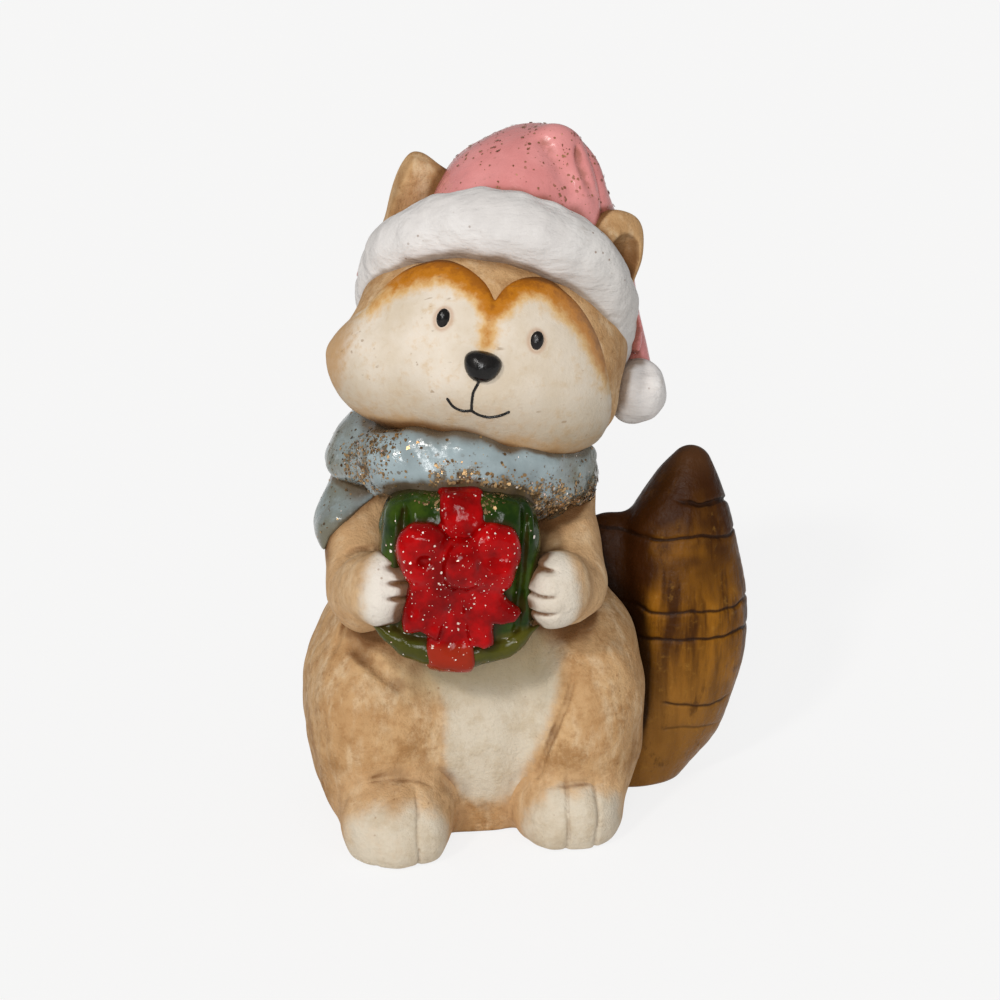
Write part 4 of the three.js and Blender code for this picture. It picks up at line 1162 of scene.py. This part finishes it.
def green_gloss():
    paint = Paint("green_gloss", Specular_IOR_Level=0.16)
    broad = paint.noise(120, 4, 0.6)
    fine = paint.noise(480, 4, 0.6)
    paint.base(broad, 0.35, 0.7, (0.008, 0.026, 0.001), (0.042, 0.078, 0.004))
    olive = paint.mix(broad, (0.022, 0.03, 0.001), (0.12, 0.105, 0.01))
    paint.coat(olive, "olive")
    # Painted shade in creases and hollows
    paint.coat((0.035, 0.022, 0.006), "shade_and_wash", 0.2, 0.8, 0.8)
    paint.bump(paint.noise(160, 2, 0.5), 0.0018, 0.5)
    paint.bump(fine, 0.0003, 0.5)
    return paint.done(fine, 0.07, 0.16)


def red_gloss():
    paint = Paint("red_gloss", Specular_IOR_Level=0.12)
    broad = paint.noise(130, 4, 0.6)
    fine = paint.noise(480, 4, 0.6)
    paint.base(broad, 0.35, 0.7, (0.19, 0.0002, 0.0003), (0.47, 0.001, 0.002))
    # Painted shade in creases and hollows
    paint.coat((0.09, 0.001, 0.001), "shade_and_wash", 0.3, 0.9, 0.7)
    paint.coat((0.30, 0.028, 0.008), "worn", 0.1, 0.9, 0.8)
    paint.bump(paint.noise(160, 2, 0.5), 0.0016, 0.5)
    paint.bump(fine, 0.0002, 0.5)
    return paint.done(fine, 0.07, 0.16)


def black_gloss():
    paint = Paint("black_gloss", Specular_IOR_Level=0.3)
    fine = paint.noise(500, 3, 0.6)
    paint.base(fine, 0.3, 0.7, (0.003, 0.0025, 0.002), (0.01, 0.008, 0.007))
    paint.bump(paint.noise(350, 3), 0.0006, 0.5)
    return paint.done(fine, 0.18, 0.32)


def brown_stain():
    paint = Paint("brown_stain", Specular_IOR_Level=0.09)
    broad = paint.noise(45, 3)
    streak = paint.noise(170, 4, 0.6, (1.0, 1.0, 0.16))
    fine = paint.noise(420, 5, 0.65)
    paint.base(streak, 0.36, 0.66, (0.05, 0.015, 0.0008), (0.30, 0.118, 0.009))
    paint.coat(paint.mix(streak, (0.13, 0.046, 0.004), (0.40, 0.19, 0.04)), "low")
    paint.coat((0.38, 0.19, 0.035), fine, 0.55, 0.8, 0.5)
    dark = paint.plus("dark", paint.span(streak, 0.3, 0.7, -0.3, 0.25))
    dark = paint.plus(dark, paint.span(broad, 0.35, 0.65, -0.35, 0.3))
    paint.coat((0.036, 0.010, 0.002), dark, 0.2, 0.9, 0.95)
    paint.coat((0.018, 0.006, 0.002), "ring", 0.2, 0.9, 0.9)
    # Painted shade in creases and hollows
    paint.coat((0.015, 0.005, 0.001), "shade_and_wash", 0.14, 0.6, 0.9)
    paint.coat((0.045, 0.014, 0.002), paint.noise(260, 5, 0.7, (1.0, 1.0, 0.4)), 0.54, 0.7, 0.6)
    # Painted reflection on the tail's tip
    paint.coat((0.105, 0.045, 0.017), "tip")
    paint.bump(streak, 0.0011, 0.65)
    paint.bump(fine, 0.0006, 0.6)
    return paint.done(fine, 0.3, 0.48)


def glitter(name, darker, bright, shine):
    paint = Paint(name, Metallic=shine)
    grain = paint.noise(900, 2, 0.5)
    paint.color = paint.mix("tone", darker, bright)
    paint.bump(grain, 0.00005, 0.3)
    return paint.done(grain, 0.2, 0.4)


makers = (tan_clay, cream_paint, white_paint, pink_gloss, blue_gloss, green_gloss, red_gloss, black_gloss)
PAINTS = {maker.__name__: maker() for maker in (*makers, brown_stain)}


def finished(thing, material, node=None):
    thing.data.materials.append(material)
    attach(thing, "root")
    if node:
        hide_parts(node)


# Build every piece
SURFACES = {}
for name, (shape, slot, detail) in PIECES.items():
    points, quads = surface(shape, *extent(name), STEP * detail)
    normal = normals(points, quads)
    SURFACES[name] = (points, normal)
    thing = mesh_of("skin_" + name, points, quads, zones(name, points, normal))
    finished(thing, PAINTS[slot], name)

mouth_points = np.vstack([HEAD.world(stroke) for stroke in MOUTH_LINES])
points, quads = surface(mouth, mouth_points.min(0) - 2, mouth_points.max(0) + 2, 0.16)
finished(mesh_of("skin_mouth", points, quads, {}), PAINTS["black_gloss"])


# Loose glitter: small flat six-sided flakes, tilted at random
def sprinkle(name, material, sources, count, sizes, seed):
    rng = np.random.default_rng(seed)
    spots, faces, chance = [], [], []
    for piece, weight in sources:
        points, normal = SURFACES[piece]
        clear = room(points + normal * 1.5) > 0.55
        spots.append(points)
        faces.append(normal)
        chance.append(np.where(clear, weight(points, normal), 0.0))
    spots, faces, chance = np.vstack(spots), np.vstack(faces), np.concatenate(chance)
    picked = rng.choice(len(spots), count, replace=False, p=chance / chance.sum())
    out = faces[picked] + rng.normal(0, 0.16, (count, 3))
    out /= np.linalg.norm(out, axis=1)[:, None]
    side = np.cross(out, rng.normal(size=(count, 3)))
    side /= np.linalg.norm(side, axis=1)[:, None]
    up = np.cross(out, side)
    radius = sizes[0] * (sizes[1] / sizes[0]) ** rng.uniform(0, 1, count) ** 1.6
    middle = spots[picked] + faces[picked] * (0.04 + 0.2 * radius)[:, None]
    turns = np.arange(6)[:, None] * pi / 3
    ring = np.cos(turns) * side[:, None] + np.sin(turns) * up[:, None]
    ragged = radius[:, None] * rng.uniform(0.6, 1.2, (count, 6))
    corners = (middle[:, None] + ring * ragged[:, :, None]).reshape(-1, 3)
    flakes = mesh_of(name, corners, np.arange(6 * count).reshape(-1, 6),
                     {"tone": np.repeat(rng.uniform(0, 1, count), 6)})
    flakes.data.shade_flat()
    finished(flakes, material)


def on_hat(p, n):
    q = HEAD.local(p)
    return (0.06 + smooth(31, 46, q[:, 2])) * (0.2 + smooth(-0.2, 1.0, lumpy(q, 9, 1.0, 63)))


def on_front(p, n):
    return smooth(0.1, -0.5, n[:, 1])


def on_top(p, n):
    q = GIFT.local(p)
    return 0.3 * smooth(17, 19.5, q[:, 2]) * smooth(12, 4, np.abs(q[:, 0]))


bronze = glitter("bronze_glitter", (0.10, 0.05, 0.018), (0.50, 0.32, 0.15), 0.7)
rust = glitter("rust_specks", (0.20, 0.07, 0.03), (0.42, 0.2, 0.1), 0.3)
pearl = glitter("pearl_glitter", (0.75, 0.5, 0.4), (0.92, 0.85, 0.78), 0.2)
scarf = [(name, lambda p, n: on_scarf(p)) for name in ("scarf_wrap", "scarf_lap", "scarf_drape")]
sprinkle("glitter_scarf", bronze, scarf + [("gift_box", on_top)], 3600, (0.1, 0.55), 51)
hat = [("hat_crown", on_hat), ("hat_tip", on_hat)]
sprinkle("specks_hat", rust, hat, 620, (0.1, 0.62), 52)
bow = [(piece, on_front) for piece, (shape, slot, detail) in PIECES.items() if slot == "red_gloss"]
sprinkle("glitter_bow", pearl, bow, 380, (0.05, 0.36), 53)
sprinkle("glitter_gift", pearl, [("gift_box", on_front)], 40, (0.08, 0.5), 54)
sprinkle("pearls_scarf", pearl, scarf, 190, (0.1, 0.42), 55)

# Floor, light and camera
FLOOR_HALF = 8.0
FLOOR_GLOW = 0.82
floor_mesh = bpy.data.meshes.new("floor")
corners = [(x * FLOOR_HALF, y * FLOOR_HALF, 0) for x, y in ((-1, -1), (1, -1), (1, 1), (-1, 1))]
floor_mesh.from_pydata(corners, [], [(0, 1, 2, 3)])
floor = bpy.data.objects.new("floor", floor_mesh)
bpy.context.scene.collection.objects.link(floor)
pale = Paint("pale_floor", Base_Color=(0.86, 0.85, 0.84, 1), Roughness=0.9, Specular_IOR_Level=0.0)
rays = pale.add("LightPath").outputs
seen = rays["Is Camera Ray"]
for ray in ("Is Glossy Ray", "Is Transmission Ray"):
    seen = pale.math("MAXIMUM", seen, rays[ray])
white = pale.add("Emission", Color=(1, 1, 1), Strength=1.0)
blend = pale.add("MixShader")
layers = (pale.times(seen, FLOOR_GLOW), pale.shader.outputs[0], white.outputs[0])
for socket, value in zip(blend.inputs, layers):
    pale.put(socket, value)
pale.put(pale.nodes["Material Output"].inputs["Surface"], blend.outputs[0])
floor_mesh.materials.append(pale.material)

world = bpy.data.worlds.new("studio")
bpy.context.scene.world = world
world.use_nodes = True
sky = world.node_tree.nodes["Background"].inputs
sky["Color"].default_value = (1, 1, 1, 1)
sky["Strength"].default_value = 0.38


def aimed(thing, start, target):
    thing.location = start
    thing.rotation_euler = (Vector(target) - Vector(start)).to_track_quat("-Z", "Y").to_euler()
    bpy.context.scene.collection.objects.link(thing)


target = Vector((np.array((5.4, -13, 81)) + AXIS) * MM)


def sunlight(name, energy, spread, offset, color=(1, 1, 1)):
    light = bpy.data.lights.new(name, "SUN")
    light.energy = energy
    light.angle = radians(spread)
    light.color = color
    aimed(bpy.data.objects.new(name, light), target + Vector(offset), target)


sunlight("key", 1.0, 6, (-0.42, -0.7, 0.58), (1.0, 0.97, 0.93))
sunlight("soft", 1.15, 18, (-0.16, -0.94, 0.3))
azimuth, elevation, distance = radians(4), radians(18), 0.6
level = np.cos(elevation)
back = Vector((-np.sin(azimuth) * level, -np.cos(azimuth) * level, np.sin(elevation)))
lens = bpy.data.cameras.new("camera")
lens.sensor_width = 36
lens.lens = 90.72
lens.clip_start = 0.01
camera = bpy.data.objects.new("camera", lens)
aimed(camera, target + distance * back, target)
bpy.context.scene.camera = camera
bpy.context.scene.view_settings.view_transform = "Standard"
